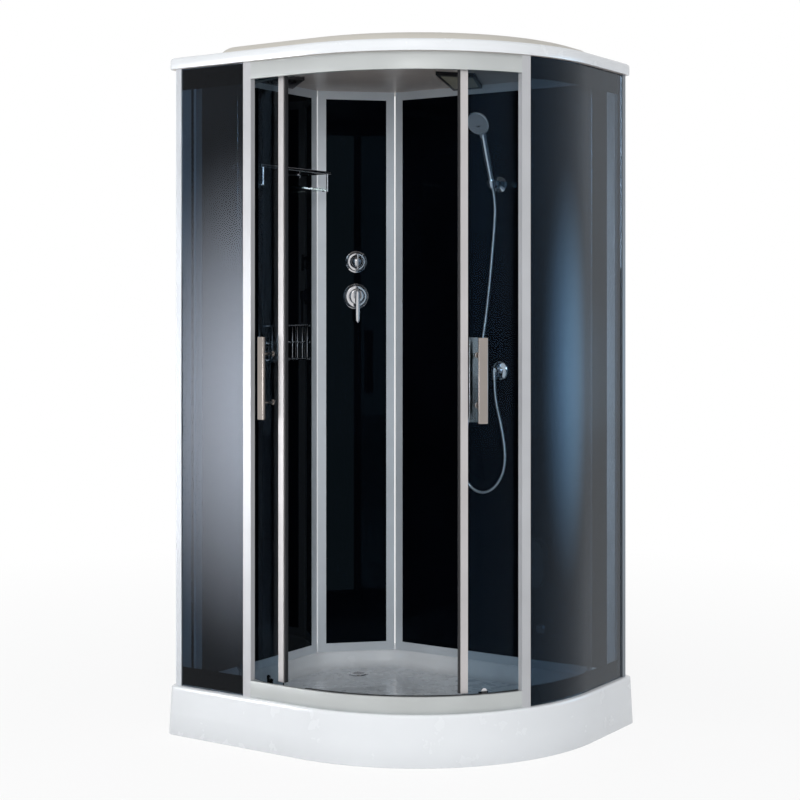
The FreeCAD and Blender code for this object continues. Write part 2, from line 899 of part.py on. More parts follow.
def make_door(prefix, lead, span, sign):
    """A sliding door: its leading edge is at lead, and the door runs back from there by span."""
    back = as_size(sign)
    low = S["door_bottom"]
    height = door_top - low
    trail = lead + back * span

    def start_of(near, width):
        return lead + near if sign > 0 else lead - near - width

    glass_near = S["stile_span_angle"] - S["stile_bite_angle"] + 0.05
    glass_span = span - glass_near
    glass = sector(door_inner, door_outer, low, height, start_of(glass_near, glass_span), glass_span)
    keep(glass, f"{prefix}_glass")
    stile_low = sill_web_top + S["guide_height"] + 34
    stile_height = track_bottom - 3 - stile_low
    body = sector(
        stile_inner, stile_outer, stile_low, stile_height,
        start_of(ZERO, S["stile_span_angle"]), S["stile_span_angle"],
    )
    slot_span = S["stile_bite_angle"] + 1
    slot = sector(
        door_inner - S["seat_gap"], door_outer + S["seat_gap"], low - 50, height + 100,
        start_of(S["stile_span_angle"] - S["stile_bite_angle"], slot_span), slot_span,
    )
    keep(carve(body, slot), f"{prefix}_stile")
    seal = sector(
        stile_inner + 2, stile_outer - 2, stile_low, stile_height,
        start_of(-S["seal_span_angle"], S["seal_span_angle"]), S["seal_span_angle"],
    )
    keep(seal, f"{prefix}_magnetic_seal")
    handle_angle = lead + back * S["handle_back_angle"]
    make_handle_bar(prefix, "outer", handle_angle, door_outer + S["handle_out"] - S["handle_thick"])
    make_handle_bar(prefix, "inner", handle_angle, door_inner - S["handle_in"])
    near = lead + back * S["carrier_lead_angle"]
    far = trail - back * S["carrier_trail_angle"]
    make_carriers(prefix, (near, far))
    make_wheel(f"{prefix}_leading_wheel", near)
    make_wheel(f"{prefix}_trailing_wheel", far)


# ---------------------------------------------------------------- roof

def make_roof():
    """Flat ceiling sheet, the white cover over it and the raised dome on top."""
    inset = S["roof_inset"]
    wall = S["roof_wall"]
    back = S["roof_back"]
    corner = S["corner_radius"]
    low = S["ceiling_height"]
    shell = lofted([
        (low, *plan(ZERO, inset, back, corner)),
        (roof_top - S["tray_lip"], *plan(ZERO, inset, back, corner)),
        (roof_top, *plan(S["tray_lip"], inset + S["tray_lip"], back + S["tray_lip"], corner)),
    ])
    hollow = lofted([
        (low - 1, *plan(wall, inset + wall, back + wall, corner)),
        (roof_top - wall, *plan(wall, inset + wall, back + wall, corner)),
    ])
    keep(carve(shell, hollow), "roof_cover")
    corners, centres = plan(wall, inset + wall, back + wall, corner)
    sheet_pad = pad(corners, S["ceiling_sheet"], centres)
    place(sheet_pad, z=low)
    duct_hole = rod(S["fan_duct"] + 0.5, 40, S["fan_x"], S["fan_y"], low - 10)
    keep(carve(sheet_pad, duct_hole), "ceiling_panel")
    step = S["dome_step"]
    front, left = S["dome_front"], S["dome_left"]
    rear = back_y - arc_y - S["dome_side"]
    dome = lofted([
        (roof_top, *plan(left, front, rear, corner)),
        (
            roof_top + S["dome_height"] * 0.5,
            *plan(left + step * 0.35, front + step * 0.35, rear + step, corner),
        ),
        (roof_top + S["dome_height"] * 0.88, *plan(left + step, front + step, rear + step * 1.5, corner)),
        (roof_top + S["dome_height"], *plan(left + step * 2.4, front + step * 2.4, rear + step * 3, corner)),
    ])
    keep(dome, "roof_dome")


def lamp_plan(shrink):
    """The lamp's four corners, drawn towards their middle by a share."""
    wall_y = back_face - S["frame_proud"] - 2
    x = S["lamp_x"]
    corners = [
        (x + S["lamp_shift"], wall_y - S["lamp_length"]),
        (x + S["lamp_shift"] + S["lamp_end_width"], wall_y - S["lamp_length"] + S["lamp_end_rise"]),
        (x + S["lamp_width"], wall_y),
        (x, wall_y),
    ]
    middle_x = (corners[0][0] + corners[1][0] + corners[2][0] + corners[3][0]) / 4
    middle_y = (corners[0][1] + corners[1][1] + corners[2][1] + corners[3][1]) / 4
    return [(px + (middle_x - px) * shrink, py + (middle_y - py) * shrink) for px, py in corners]


def make_ceiling_lamp():
    """Black framed lamp on the ceiling, from the back wall towards the front."""
    depth = S["lamp_depth"]
    low = S["ceiling_height"] - depth
    border = S["lamp_border"]
    body = place(pad(lamp_plan(ZERO), depth), z=low)
    recess = place(pad(lamp_plan(border), 6), z=low - 1)
    keep(carve(body, recess), "ceiling_lamp_housing")
    keep(place(pad(lamp_plan(border + 0.01), 4), z=low + 1), "ceiling_lamp_lens")


def make_fan():
    """Extractor under the ceiling: grille plate, duct ring with a shaft, and the impeller."""
    depth = S["fan_depth"]
    ceiling = S["ceiling_height"]
    duct = S["fan_duct"]
    wall = S["fan_wall"]
    height = S["fan_height"]
    x, y = S["fan_x"], S["fan_y"]
    edge = left_face + S["frame_proud"] + 2
    plate = pad([
        (edge, y - duct), (x + duct * 0.46, y - duct * 1.96), (x + duct * 1.77, y), (edge, y + duct * 2.77),
    ], depth)
    place(plate, z=ceiling - depth)
    spokes = join(
        box(duct * 2, 4, depth + 4, -duct, -2, -depth - 2),
        box(4, duct * 2, depth + 4, -2, -duct, -depth - 2),
    )
    slots = []
    for ring in range(1, 5):
        outer = duct * (0.2 * ring + 0.12)
        ring_cut = rod(outer, depth + 2, z=-depth - 1)
        ring_slot = carve(ring_cut, rod(outer - 6, depth + 4, z=-depth - 2), spokes)
        slots.append(place(group(ring_slot), x, y, ceiling))
    duct_ring = carve(rod(duct, height), rod(duct - wall, height + 2, z=-1))
    bars = [
        box(duct * 2 - 2, 8, 3, -duct + 1, -4, height - 3),
        box(8, duct * 2 - 2, 3, -4, -duct + 1, height - 3),
    ]
    shaft = rod(S["fan_shaft"], height + 1, z=-1)
    motor = place(join(duct_ring, *bars, shaft), x, y, ceiling)
    keep(join(carve(plate, *slots), motor), "fan_housing")
    bore = S["fan_shaft"] + S["running_gap"]
    hub = carve(rod(12, S["fan_blade"], z=S["fan_gap"]), rod(bore, 40, z=-2))
    tip = duct - wall - 2
    blades = []
    for number in range(7):
        blade = box(tip - 11, 2, S["fan_blade"] - 4, 11, -1, S["fan_gap"] + 2)
        blades.append(place(group(blade), turn=as_size(number * 360 / 7)))
    keep(place(join(hub, *blades), x, y, ceiling), "fan_impeller")


# ---------------------------------------------------------------- controls

def make_controls():
    """Diverter and mixer on the column, and the valve behind it."""
    into = Vector(1, 0, 0)
    spindle = S["spindle_radius"]
    hole = spindle + 0.5
    for name, height, radius in (
        ("diverter_escutcheon", knob_height, S["knob_plate_radius"]),
        ("mixer_escutcheon", S["mixer_height"], S["mixer_plate_radius"]),
    ):
        thick = S["plate_thick"]
        plate = turned([(hole, 0), (radius, 0), (radius, 2), (radius * 0.8, thick), (hole, thick)])
        place(plate, z=height, rotation=lay_along(into))
        keep(on_column(group(plate)), name)

    start = S["plate_thick"] + 0.5
    bore = S["tip_radius"] + S["running_gap"]
    depth = S["tip_length"] + 0.5
    radius = S["knob_radius"]
    length = S["knob_length"]
    knob = turned([
        (bore, start), (radius, start), (radius, start + length * 0.6), (radius * 0.82, start + length),
        (0, start + length), (0, start + depth), (bore, start + depth),
    ])
    place(knob, z=knob_height, rotation=lay_along(into))
    grip = box(8, 7, radius * 2 + 8, start + length - 6, -3.5, knob_height - radius - 4)
    keep(on_column(join(knob, grip)), "diverter_knob")

    radius = S["cap_radius"]
    length = S["cap_length"]
    cap = turned([
        (bore, start), (radius, start), (radius, start + length * 0.7), (radius * 0.75, start + length),
        (0, start + length), (0, start + depth), (bore, start + depth),
    ])
    place(cap, z=S["mixer_height"], rotation=lay_along(into))
    lever_x = start + length - S["lever_thick"] - 1.5
    lever_top = S["mixer_height"] + S["lever_rise"]
    pivot_x = lever_x + S["lever_thick"] / 2
    pivot_z = lever_top - 7
    slot_width = S["lever_width"] + 0.6
    pocket_height = radius * 2 + 10
    pocket_low = lever_top + 2.5 - pocket_height
    pocket = box(20, slot_width, pocket_height, lever_x - 3.5, -slot_width / 2, pocket_low)
    pin = rod(S["lever_pin"], slot_width + 4, pivot_x, -slot_width / 2 - 2, pivot_z, Vector(0, 1, 0))
    keep(on_column(join(carve(cap, pocket), pin)), "mixer_cap")
    blade_bottom = lever_top - S["lever_length"]
    width = S["lever_width"]
    blade = box(S["lever_thick"], width, S["lever_length"], lever_x, -width / 2, blade_bottom)
    tip = rod(S["lever_width"] / 2, S["lever_thick"], lever_x, ZERO, blade_bottom, into)
    pin_hole = rod(S["lever_pin"] + S["running_gap"], 40, pivot_x, -20, pivot_z, Vector(0, 1, 0))
    keep(on_column(carve(join(blade, tip), pin_hole)), "mixer_lever")

    width = S["valve_width"]
    back = -frame_back
    low = S["mixer_height"] - 30
    high = knob_height + 30
    body = box(S["valve_depth"], width, high - low, back - S["valve_depth"], -width / 2, low)
    pieces = [body]
    for height in (knob_height, S["mixer_height"]):
        pieces.append(rod(spindle, frame_back + start + 1, back - 1, ZERO, height, into))
        pieces.append(rod(spindle * 1.8, frame_back - S["wall_glass"] + 1, back - 1, ZERO, height, into))
        pieces.append(rod(S["tip_radius"], S["tip_length"] + 1, start - 1, ZERO, height, into))
    for side in (-0.3, 0.3):
        tail_start = back - S["valve_depth"] - S["tail_length"]
        tail = rod(
            S["tail_radius"], S["tail_length"] + 2, tail_start, width * side, S["mixer_height"], into
        )
        pieces.append(tail)
    keep(on_column(join(*pieces)), "mixer_valve")


def glass_holes():
    """Cut the spindle holes in the column glass."""
    pane = next(item for item in subparts if item.Label == "column_glass")
    subparts.remove(pane)
    pane.Label = "Column pane"
    radius = S["spindle_radius"] + 1
    into = Vector(1, 0, 0)
    holes = [
        on_column(group(rod(radius, 20, -10, ZERO, height, into)))
        for height in (knob_height, S["mixer_height"])
    ]
    keep(carve(pane, *holes), "column_glass")


# ---------------------------------------------------------------- steam and water

def make_steam():
    """Boiler behind the column, steam outlet and foot jet on the back wall."""
    side = S["boiler_side"]
    x = left_x + S["tray_draft"] + S["tray_lip"] + 8
    y = back_y - S["tray_draft"] - S["tray_lip"] - 8 - side
    keep(box(side, side, S["boiler_height"], x, y, S["tray_height"]), "steam_generator")
    width = S["outlet_width"]
    depth = S["outlet_depth"]
    height = S["outlet_height"]
    round_end = width / 2
    shell = join(
        box(depth, width, height - round_end * 2, ZERO, -width / 2, S["outlet_base"] + round_end),
        rod(round_end, depth, ZERO, ZERO, S["outlet_base"] + round_end, Vector(1, 0, 0)),
        rod(round_end, depth, ZERO, ZERO, S["outlet_base"] + height - round_end, Vector(1, 0, 0)),
    )
    slots = [
        box(10, width * 0.6, 4, depth - 6, -width * 0.3, S["outlet_base"] + 34 + number * 11)
        for number in range(5)
    ]
    keep(on_back_wall(carve(shell, *slots), S["outlet_x"]), "steam_outlet")
    radius = S["jet_radius"]
    jet = turned([(0, 0), (radius, 0), (radius, 3), (radius * 0.7, 10), (5, 10), (4, 6), (0, 6)])
    place(jet, z=S["jet_height"], rotation=lay_along(Vector(1, 0, 0)))
    keep(on_back_wall(group(jet), S["jet_x"]), "foot_jet")


def make_elbow():
    """Wall elbow that feeds the hose."""
    out = S["elbow_out"]
    pipe = S["elbow_pipe"]
    height = elbow_height
    into = Vector(1, 0, 0)
    wide = S["elbow_flange"]
    flange = turned([(0, 0), (wide, 0), (wide, 2), (wide * 0.55, 9), (0, 9)])
    place(flange, z=height, rotation=lay_along(into))
    arm = rod(pipe, out, ZERO, ZERO, height, into)
    knuckle = doc.addObject("Part::Sphere", "Knuckle")
    bind(knuckle, Radius=pipe + 1.5)
    place(knuckle, out, ZERO, height)
    spout = rod(pipe, 30, out, ZERO, height - 30, UP)
    keep(on_back_wall(join(flange, arm, knuckle, spout), S["shower_x"]), "shower_elbow")


# where the holder's flange meets the wall, and the points that the hose follows from there
HOSE_HOLDER = (130, 377, 1722)
HOSE_ROUTE = (
    (130, 328.249, 1713.073), (130, 346.547, 1662.799), (127, 347, 1595), (121, 342, 1500), (113, 340, 1405),
    (102, 339, 1310), (88, 338, 1215), (70, 338, 1120), (50, 340, 1028), (30, 341, 945),
    (14, 342, 870), (8, 342, 806), (18, 341, 754), (46, 340, 720), (86, 339, 710),
    (126, 339, 726), (157, 340, 764), (171, 341, 816), (167, 342, 872), (154, 342, 938),
    (138, 342, 998), (130, 342, 1044), (130, 342, 1082),
)


def tube_path(points):
    """Straight runs joined by tangent arcs, as one wire, with its length and smallest radius."""
    edges = []
    cursor = points[0]
    radii = []
    for before, here, after in zip(points, points[1:], points[2:]):
        arriving = here - before
        leaving = after - here
        half_turn = arriving.getAngle(leaving) / 2
        setback = 0.45 * min(arriving.Length, leaving.Length)
        radius = setback / math.tan(half_turn)
        radii.append(radius)
        start = here - arriving.normalize() * setback
        end = here + leaving.normalize() * setback
        inward = (leaving - arriving).normalize()
        middle = here + inward * (radius / math.cos(half_turn) - radius)
        edges.append(Part.LineSegment(cursor, start).toShape())
        edges.append(Part.Arc(start, middle, end).toShape())
        cursor = end
    edges.append(Part.LineSegment(cursor, points[-1]).toShape())
    return Part.Wire(edges), min(radii)


def make_hose():
    """Metal shower hose from the hand shower's nut to the elbow."""
    radius = S["hose_diameter"].value / 2
    shift = Vector(
        S["shower_x"].value - HOSE_HOLDER[0],
        back_face.value - HOSE_HOLDER[1],
        holder_height.value - HOSE_HOLDER[2],
    )
    route = [Vector(*point) + shift for point in HOSE_ROUTE]
    wire, tightest = tube_path(route)
    start = route[0]
    direction = route[1] - start
    circle = Part.Wire(Part.makeCircle(radius, start, direction))
    shape = wire.makePipeShell([circle], True, False)
    ratio = shape.Volume / (math.pi * radius ** 2 * wire.Length)
    print(f"hose length {wire.Length:.0f}, tightest radius {tightest:.0f}, volume ratio {ratio:.4f}")
    hose = doc.addObject("Part::Feature", "Hose")
    hose.Shape = shape
    keep(hose, "shower_hose")


def make_holder():
    """Wall bracket, swivelling clip and the hand shower it carries."""
    height = holder_height
    out = S["holder_out"]
    into = Vector(1, 0, 0)
    wide = S["holder_flange"]
    flange = turned([(0, 0), (wide, 0), (wide, 4), (wide * 0.5, 14), (0, 14)])
    place(flange, z=height, rotation=lay_along(into))
    stem = rod(7, out - 26, ZERO, ZERO, height, into)
    lug = box(12, 9, 18, out - 32, S["nut_radius"] + 6, height - 9)
    arm = box(8, S["nut_radius"] + 15, 14, out - 32, ZERO, height - 7)
    pin = rod(3, 11, out, S["nut_radius"] + 4, height, Vector(0, 1, 0))
    ear = box(31, 9, 14, out - 24, S["nut_radius"] + 6, height - 7)
    keep(on_back_wall(join(flange, stem, lug, arm, pin, ear), S["shower_x"]), "holder_bracket")

    tilt = Rotation(Vector(1, 0, 0), S["handle_tilt"].value)
    hold_x, hold_y = S["shower_x"], back_face - out
    cup = carve(
        rod(S["nut_radius"] + 4, 18, z=-6),
        rod(S["nut_radius"] + 0.3, 30, z=-10),
    )
    eye = rod(6, 5, S["nut_radius"] + 0.8, ZERO, ZERO, Vector(1, 0, 0))
    bore = rod(S["running_gap"] + 3, 20, S["nut_radius"] - 2, ZERO, ZERO, Vector(1, 0, 0))
    clip = carve(join(cup, eye), bore, rod(S["nut_radius"] + 0.3, 30, z=-10))
    keep(place(clip, hold_x, hold_y, height, rotation=tilt), "holder_clip")
    return tilt, hold_x, hold_y, height


def make_hand_shower(tilt, x, y, height):
    """Hand shower on the tilted axis of the holder, with its turning spray ring."""
    nut = S["nut_radius"]
    length = S["nut_length"]
    grip = S["grip_radius"]
    reach = S["head_reach"]
    grip_end = length + S["grip_length"]
    handle = turned([
        (0, -length), (nut, -length), (nut, 12), (grip * 0.85, 18), (grip, 60), (grip * 0.95, grip_end * 0.8),
        (grip * 1.15, grip_end), (grip * 0.9, reach), (0, reach),
    ])
    bore = rod(S["nut_bore"], 8, z=-length - 1)
    nod = math.radians(S["head_nod"].value)
    normal = Vector(0, -math.cos(nod), -math.sin(nod))
    radius = S["head_radius"]
    thick = S["head_thick"]
    disc = turned([
        (0, -thick), (radius * 0.55, -thick), (radius * 0.9, -thick * 0.55),
        (radius, -thick * 0.2), (radius, 0), (0, 0),
    ])
    place(disc, ZERO, -S["head_forward"], reach, rotation=lay_along(normal))
    neck = doc.addObject("Part::Sphere", "Neck")
    bind(neck, Radius=grip * 1.35)
    place(neck, ZERO, -3, reach - 16)
    body = carve(join(handle, neck, disc), bore)
    recess_centre = Vector(0, -S["head_forward"].value, reach.value)
    recess_start = recess_centre - normal * 4
    recess = rod(S["ring_radius"] + 0.3, 20, recess_start.x, recess_start.y, recess_start.z, normal)
    body = carve(body, recess)
    keep(place(body, x, y, height, rotation=tilt), "hand_shower")
    ring_radius = S["ring_radius"]
    ring = turned([(0, -3.7), (ring_radius, -3.7), (ring_radius, 1.6), (ring_radius - 4, 2.4), (0, 2.4)])
    tab = box(5, 18, 2, -2.5, ring_radius - 4, 0.3)
    ring = place(join(ring, tab), ZERO, -S["head_forward"], reach, rotation=spray_rotation(normal))
    keep(place(group(ring), x, y, height, rotation=tilt), "spray_ring")


def spray_rotation(normal):
    """Carry +Z onto the spray direction and +Y onto the downward edge of the face."""
    across = Vector(1, 0, 0)
    down = normal.cross(across)
    if down.z > 0:
        down = down * -1
        across = across * -1
    return Rotation(across, down, normal, "ZXY")


# ---------------------------------------------------------------- shelf and basket

def make_shelf():
    """Glass shelf with a round gallery rail on the left wall."""
    front, back = S["shelf_front"], S["shelf_back"]
    reach = S["shelf_reach"]
    low = shelf_height
    glass = S["shelf_glass"]
    length = back - front
    inset = as_size(12)
    pane = box(reach - inset, length, glass, left_face + S["frame_proud"] + 1, front, low)
    keep(pane, "shelf_glass")
    radius = S["rail_radius"]
    top = low + S["rail_height"]
    bar_x = left_face + reach
    pieces = [rod(radius, length, bar_x, front, top, Vector(0, 1, 0))]
    wall_x = left_face
    for y in (front + 14, back - 14):
        pieces.append(rod(radius, reach, wall_x, y, top, Vector(1, 0, 0)))
        pieces.append(rod(radius * 2.4, 5, wall_x, y, top, Vector(1, 0, 0)))
        pieces.append(rod(radius * 0.8, S["rail_height"] + 4, bar_x, y, low - 4))
        pieces.append(rod(radius * 2, 4, bar_x - 9, y, low - 4))
        pieces.append(box(18, 8, 4, bar_x - 14, y - 4, low - 4))
    keep(join(*pieces), "shelf_rail")


def make_basket():
    """Chrome wire basket on the left wall."""
    front, back = S["basket_front"], S["basket_back"]
    reach = S["basket_reach"]
    low = basket_bottom
    height = S["basket_height"]
    wire = S["wire_radius"]
    near = left_face + 6
    far = left_face + reach
    length = back - front
    pieces = []
    for z in (low, low + height * 0.5, low + height):
        pieces.append(rod(wire, length, far, front, z, Vector(0, 1, 0)))
        pieces.append(rod(wire, length, near, front, z, Vector(0, 1, 0)))
        pieces.append(rod(wire, reach - 6, near, front, z, Vector(1, 0, 0)))
        pieces.append(rod(wire, reach - 6, near, back, z, Vector(1, 0, 0)))
        for y in (front, back):
            for x in (near, far):
                ball = doc.addObject("Part::Sphere", "Knot")
                bind(ball, Radius=wire)
                pieces.append(place(ball, x, y, z))
    for x in (near, far):
        for y in (front, back):
            pieces.append(rod(wire, height, x, y, low))
    bars = 9
    for number in range(1, bars):
        y = front + length * (number / bars)
        pieces.append(rod(wire * 0.8, reach - 6, near, y, low, Vector(1, 0, 0)))
        pieces.append(rod(wire * 0.8, height, far, y, low))
    for y in (front + 40, back - 40):
        pieces.append(rod(wire * 3, 5.5, left_face, y, low + height, Vector(1, 0, 0)))
    keep(join(*pieces), "wire_basket")


# ---------------------------------------------------------------- whole cabin

make_tray()
beam_bottom = make_support_frame()
make_feet(beam_bottom)
make_drain()
make_walls()
left_edge, right_edge = make_corner_posts()
make_fixed_front(left_edge, right_edge)
make_rail("head_rail", True)
make_rail("sill_rail", False)
make_door("left_door", S["left_lead_angle"], S["left_span_angle"], -1)
make_door("right_door", S["right_lead_angle"], S["right_span_angle"], 1)
make_roof()
make_ceiling_lamp()
make_fan()
make_controls()
glass_holes()
make_steam()
make_elbow()
make_hose()
make_hand_shower(*make_holder())
make_shelf()
make_basket()
doc.recompute()


def check_document():
    """Stop if any object failed, or a sub-part is empty or invalid."""
    for item in doc.Objects:
        if "Invalid" in item.State or "Error" in item.State:
            raise RuntimeError(f"{item.Name} ({item.Label}) failed: {item.State}")
    for item in subparts:
        if item.Shape.isNull() or not item.Shape.isValid():
            raise RuntimeError(f"{item.Label} has no valid shape")


check_document()
os.makedirs("parts", exist_ok=True)
for item in subparts:
    item.Shape.exportStep(f"parts/{item.Label}.step")
print(f"{len(subparts)} sub-parts written")
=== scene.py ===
"""Looks of the steam shower cabin: metres, +Z up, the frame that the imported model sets."""
import bmesh
import bpy
import math
from mathutils import Matrix, Vector


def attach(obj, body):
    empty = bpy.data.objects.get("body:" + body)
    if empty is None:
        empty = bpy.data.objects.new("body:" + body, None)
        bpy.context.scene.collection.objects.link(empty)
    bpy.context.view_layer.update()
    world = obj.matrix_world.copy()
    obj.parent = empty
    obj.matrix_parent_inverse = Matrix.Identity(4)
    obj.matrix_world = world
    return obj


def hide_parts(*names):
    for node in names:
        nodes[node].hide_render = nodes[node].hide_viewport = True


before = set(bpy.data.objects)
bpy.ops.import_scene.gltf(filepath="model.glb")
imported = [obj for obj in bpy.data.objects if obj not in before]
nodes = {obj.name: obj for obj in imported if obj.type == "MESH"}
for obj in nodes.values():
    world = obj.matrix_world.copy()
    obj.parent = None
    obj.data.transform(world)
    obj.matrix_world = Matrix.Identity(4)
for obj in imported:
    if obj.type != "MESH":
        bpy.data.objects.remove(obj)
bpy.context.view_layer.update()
bpy.context.scene.view_settings.view_transform = "Standard"

# places and sizes shared by many pieces, in metres
HALF_WIDTH, HALF_DEPTH = 0.573, 0.467
ARC_X, ARC_Y = -0.065, 0.171
PANE_IN, PANE_OUT = 0.611, 0.616
DOOR_IN, DOOR_OUT = 0.586, 0.591
PANE_LOW, PANE_HIGH = 0.150, 2.055
DOOR_LOW, DOOR_HIGH = 0.186, 2.036
LEFT_WALL, BACK_WALL = -0.477, 0.377
COLUMN = (-0.3815, 0.2815)
INTO_CABIN = {"left": 0.0, "back": -90.0, "column": -45.0}
BASIN_FLOOR = 0.1021
CORNER = 0.022
DIVERTER_HEIGHT, MIXER_HEIGHT = 1.475, 1.357
HANDLE_HEIGHT, HANDLE_OUTER, HANDLE_INNER = 1.107, 0.6355, 0.5525
WHEEL_PATH, WHEEL_HEIGHT = 0.571, 2.0263
AXIS_RADIUS = 1e-5


# ---------------------------------------------------------------- camera

def make_camera():
    """Level camera with its frame shifted down."""
    data = bpy.data.cameras.new("Camera")
    data.sensor_width = 36
    data.lens = 73.6
    data.shift_y = -0.1122
    data.clip_end = 60
    camera = bpy.data.objects.new("Camera", data)
    camera.location = (2.834, -4.278, 1.31)
    camera.rotation_euler = (math.radians(90), 0, math.radians(33.66))
    bpy.context.collection.objects.link(camera)
    bpy.context.scene.camera = camera


make_camera()


# ---------------------------------------------------------------- materials

def feed(tree, node, inputs):
    """Fill a node's inputs: an output is linked, anything else is a plain value."""
    for name, value in inputs.items():
        if isinstance(value, bpy.types.NodeSocket):
            tree.links.new(value, node.inputs[name])
        else:
            node.inputs[name].default_value = value
    return node


def add_node(tree, kind, inputs):
    return feed(tree, tree.nodes.new("ShaderNode" + kind), inputs)


def empty_material(name):
    material = bpy.data.materials.new(name)
    material.use_nodes = True
    material.node_tree.nodes.clear()
    return material, material.node_tree


def new_material(name):
    """A material with one shader, already on its output."""
    material, tree = empty_material(name)
    shader = add_node(tree, "BsdfPrincipled", {})
    add_node(tree, "OutputMaterial", {"Surface": shader.outputs[0]})
    return material, tree, shader


def coordinates(tree, scale=(1, 1, 1)):
    """Object coordinates, stretched by a scale."""
    source = add_node(tree, "TexCoord", {})
    mapping = add_node(tree, "Mapping", {"Scale": scale, "Vector": source.outputs["Object"]})
    return mapping.outputs["Vector"]


def noise(tree, vector, scale, detail=4):
    texture = add_node(tree, "TexNoise", {
        "Scale": scale, "Detail": detail, "Roughness": 0.55, "Vector": vector})
    return texture.outputs["Fac"]


def spread(tree, value, low, high):
    """Map the middle of a 0 to 1 value onto a range."""
    ramp = add_node(tree, "MapRange", {
        "From Min": 0.3, "From Max": 0.7, "To Min": low, "To Max": high, "Value": value})
    return ramp.outputs["Result"]


def tint(tree, value, colour, low, high):
    """A colour that a 0 to 1 value moves between two shares of itself."""
    ramp = add_node(tree, "ValToRGB", {"Fac": value})
    for index, (position, share) in enumerate(((0.35, low), (0.65, high))):
        element = ramp.color_ramp.elements[index]
        element.position = position
        element.color = (*(min(1, channel * share) for channel in colour), 1)
    return ramp.outputs["Color"]


def bump(tree, height, strength, distance):
    node = add_node(tree, "Bump", {"Strength": strength, "Distance": distance, "Height": height})
    return node.outputs["Normal"]


def plastic(name, colour, roughness, coat=0.0, grain=900, depth=0.00002, variation=0.04):
    """Moulded plastic or acrylic with a fine skin and faint colour drift."""
    material, tree, shader = new_material(name)
    vector = coordinates(tree)
    feed(tree, shader, {
        "Base Color": tint(tree, noise(tree, vector, 3.0), colour, 1 - variation, 1 + variation),
        "Roughness": spread(tree, noise(tree, vector, 14), roughness * 0.85, roughness * 1.2),
        "Coat Weight": coat,
        "Coat Roughness": 0.06,
        "Normal": bump(tree, noise(tree, vector, grain, 2), 0.25, depth),
    })
    return material


def metal(name, colour, roughness, brush=(1, 1, 1), grain=900, depth=0.000006, variation=0.04,
          blend=1.0, specular=0.5):
    """Metal, brushed along the axis whose scale is small; blend is how metallic it is."""
    material, tree, shader = new_material(name)
    lines = noise(tree, coordinates(tree, brush), grain, 3)
    broad = noise(tree, coordinates(tree), 5, 2)
    feed(tree, shader, {
        "Base Color": tint(tree, broad, colour, 1 - variation, 1 + variation),
        "Roughness": spread(tree, lines, roughness * 0.97, roughness * 1.04),
        "Metallic": blend,
        "Specular IOR Level": specular,
        "Normal": bump(tree, lines, 0.12, depth),
    })
    return material


def mirror_glass(name, colour, specular=0.06, roughness=0.02):
    """Opaque glass, painted on its back, with a faint reflection tinted cold blue as a painted
    reflection.
    """
    material, tree, shader = new_material(name)
    vector = coordinates(tree)
    feed(tree, shader, {
        "Base Color": tint(tree, noise(tree, vector, 1.6, 2), colour, 0.7, 1.3),
        "Roughness": spread(tree, noise(tree, vector, 8), roughness * 0.7, roughness * 1.6),
        "Specular IOR Level": specular,
        # cold blue tint of the reflection: a painted reflection colour
        "Specular Tint": (0.45, 0.78, 1.0, 1),
    })
    return material


def clear_glass(name, colour, specular, painted_reflection=(1, 1, 1)):
    """Glass that light passes through, tinted in its mass, with a painted reflection colour and
    strength.
    """
    material, tree, shader = new_material(name)
    vector = coordinates(tree)
    feed(tree, shader, {
        "Base Color": tint(tree, noise(tree, vector, 1.2, 2), colour, 0.94, 1.06),
        "Transmission Weight": 1.0,
        "Roughness": 0.0,
        "IOR": 1.45,
        "Specular IOR Level": specular,
        # painted reflection: a colour that tints and dims what the glass reflects
        "Specular Tint": (*painted_reflection, 1),
    })
    return material


def dimpled_acrylic(name, colour):
    """The basin's acrylic, with small raised dots on its floor."""
    material, tree, shader = new_material(name)
    vector = coordinates(tree)
    cells = add_node(tree, "TexVoronoi", {"Scale": 75, "Randomness": 0.35, "Vector": vector})
    dots = add_node(tree, "MapRange", {
        "From Min": 0.15, "From Max": 0.45, "To Min": 1.0, "To Max": 0.0,
        "Value": cells.outputs["Distance"]}).outputs["Result"]
    feed(tree, shader, {
        # the raised dots painted a little lighter than the floor between them: a painted highlight
        # on their tops
        "Base Color": tint(tree, dots, colour, 0.96, 1.02),
        "Roughness": spread(tree, noise(tree, vector, 20), 0.22, 0.34),
        "Coat Weight": 0.3,
        "Normal": bump(tree, dots, 0.2, 0.0008),
    })
    return material


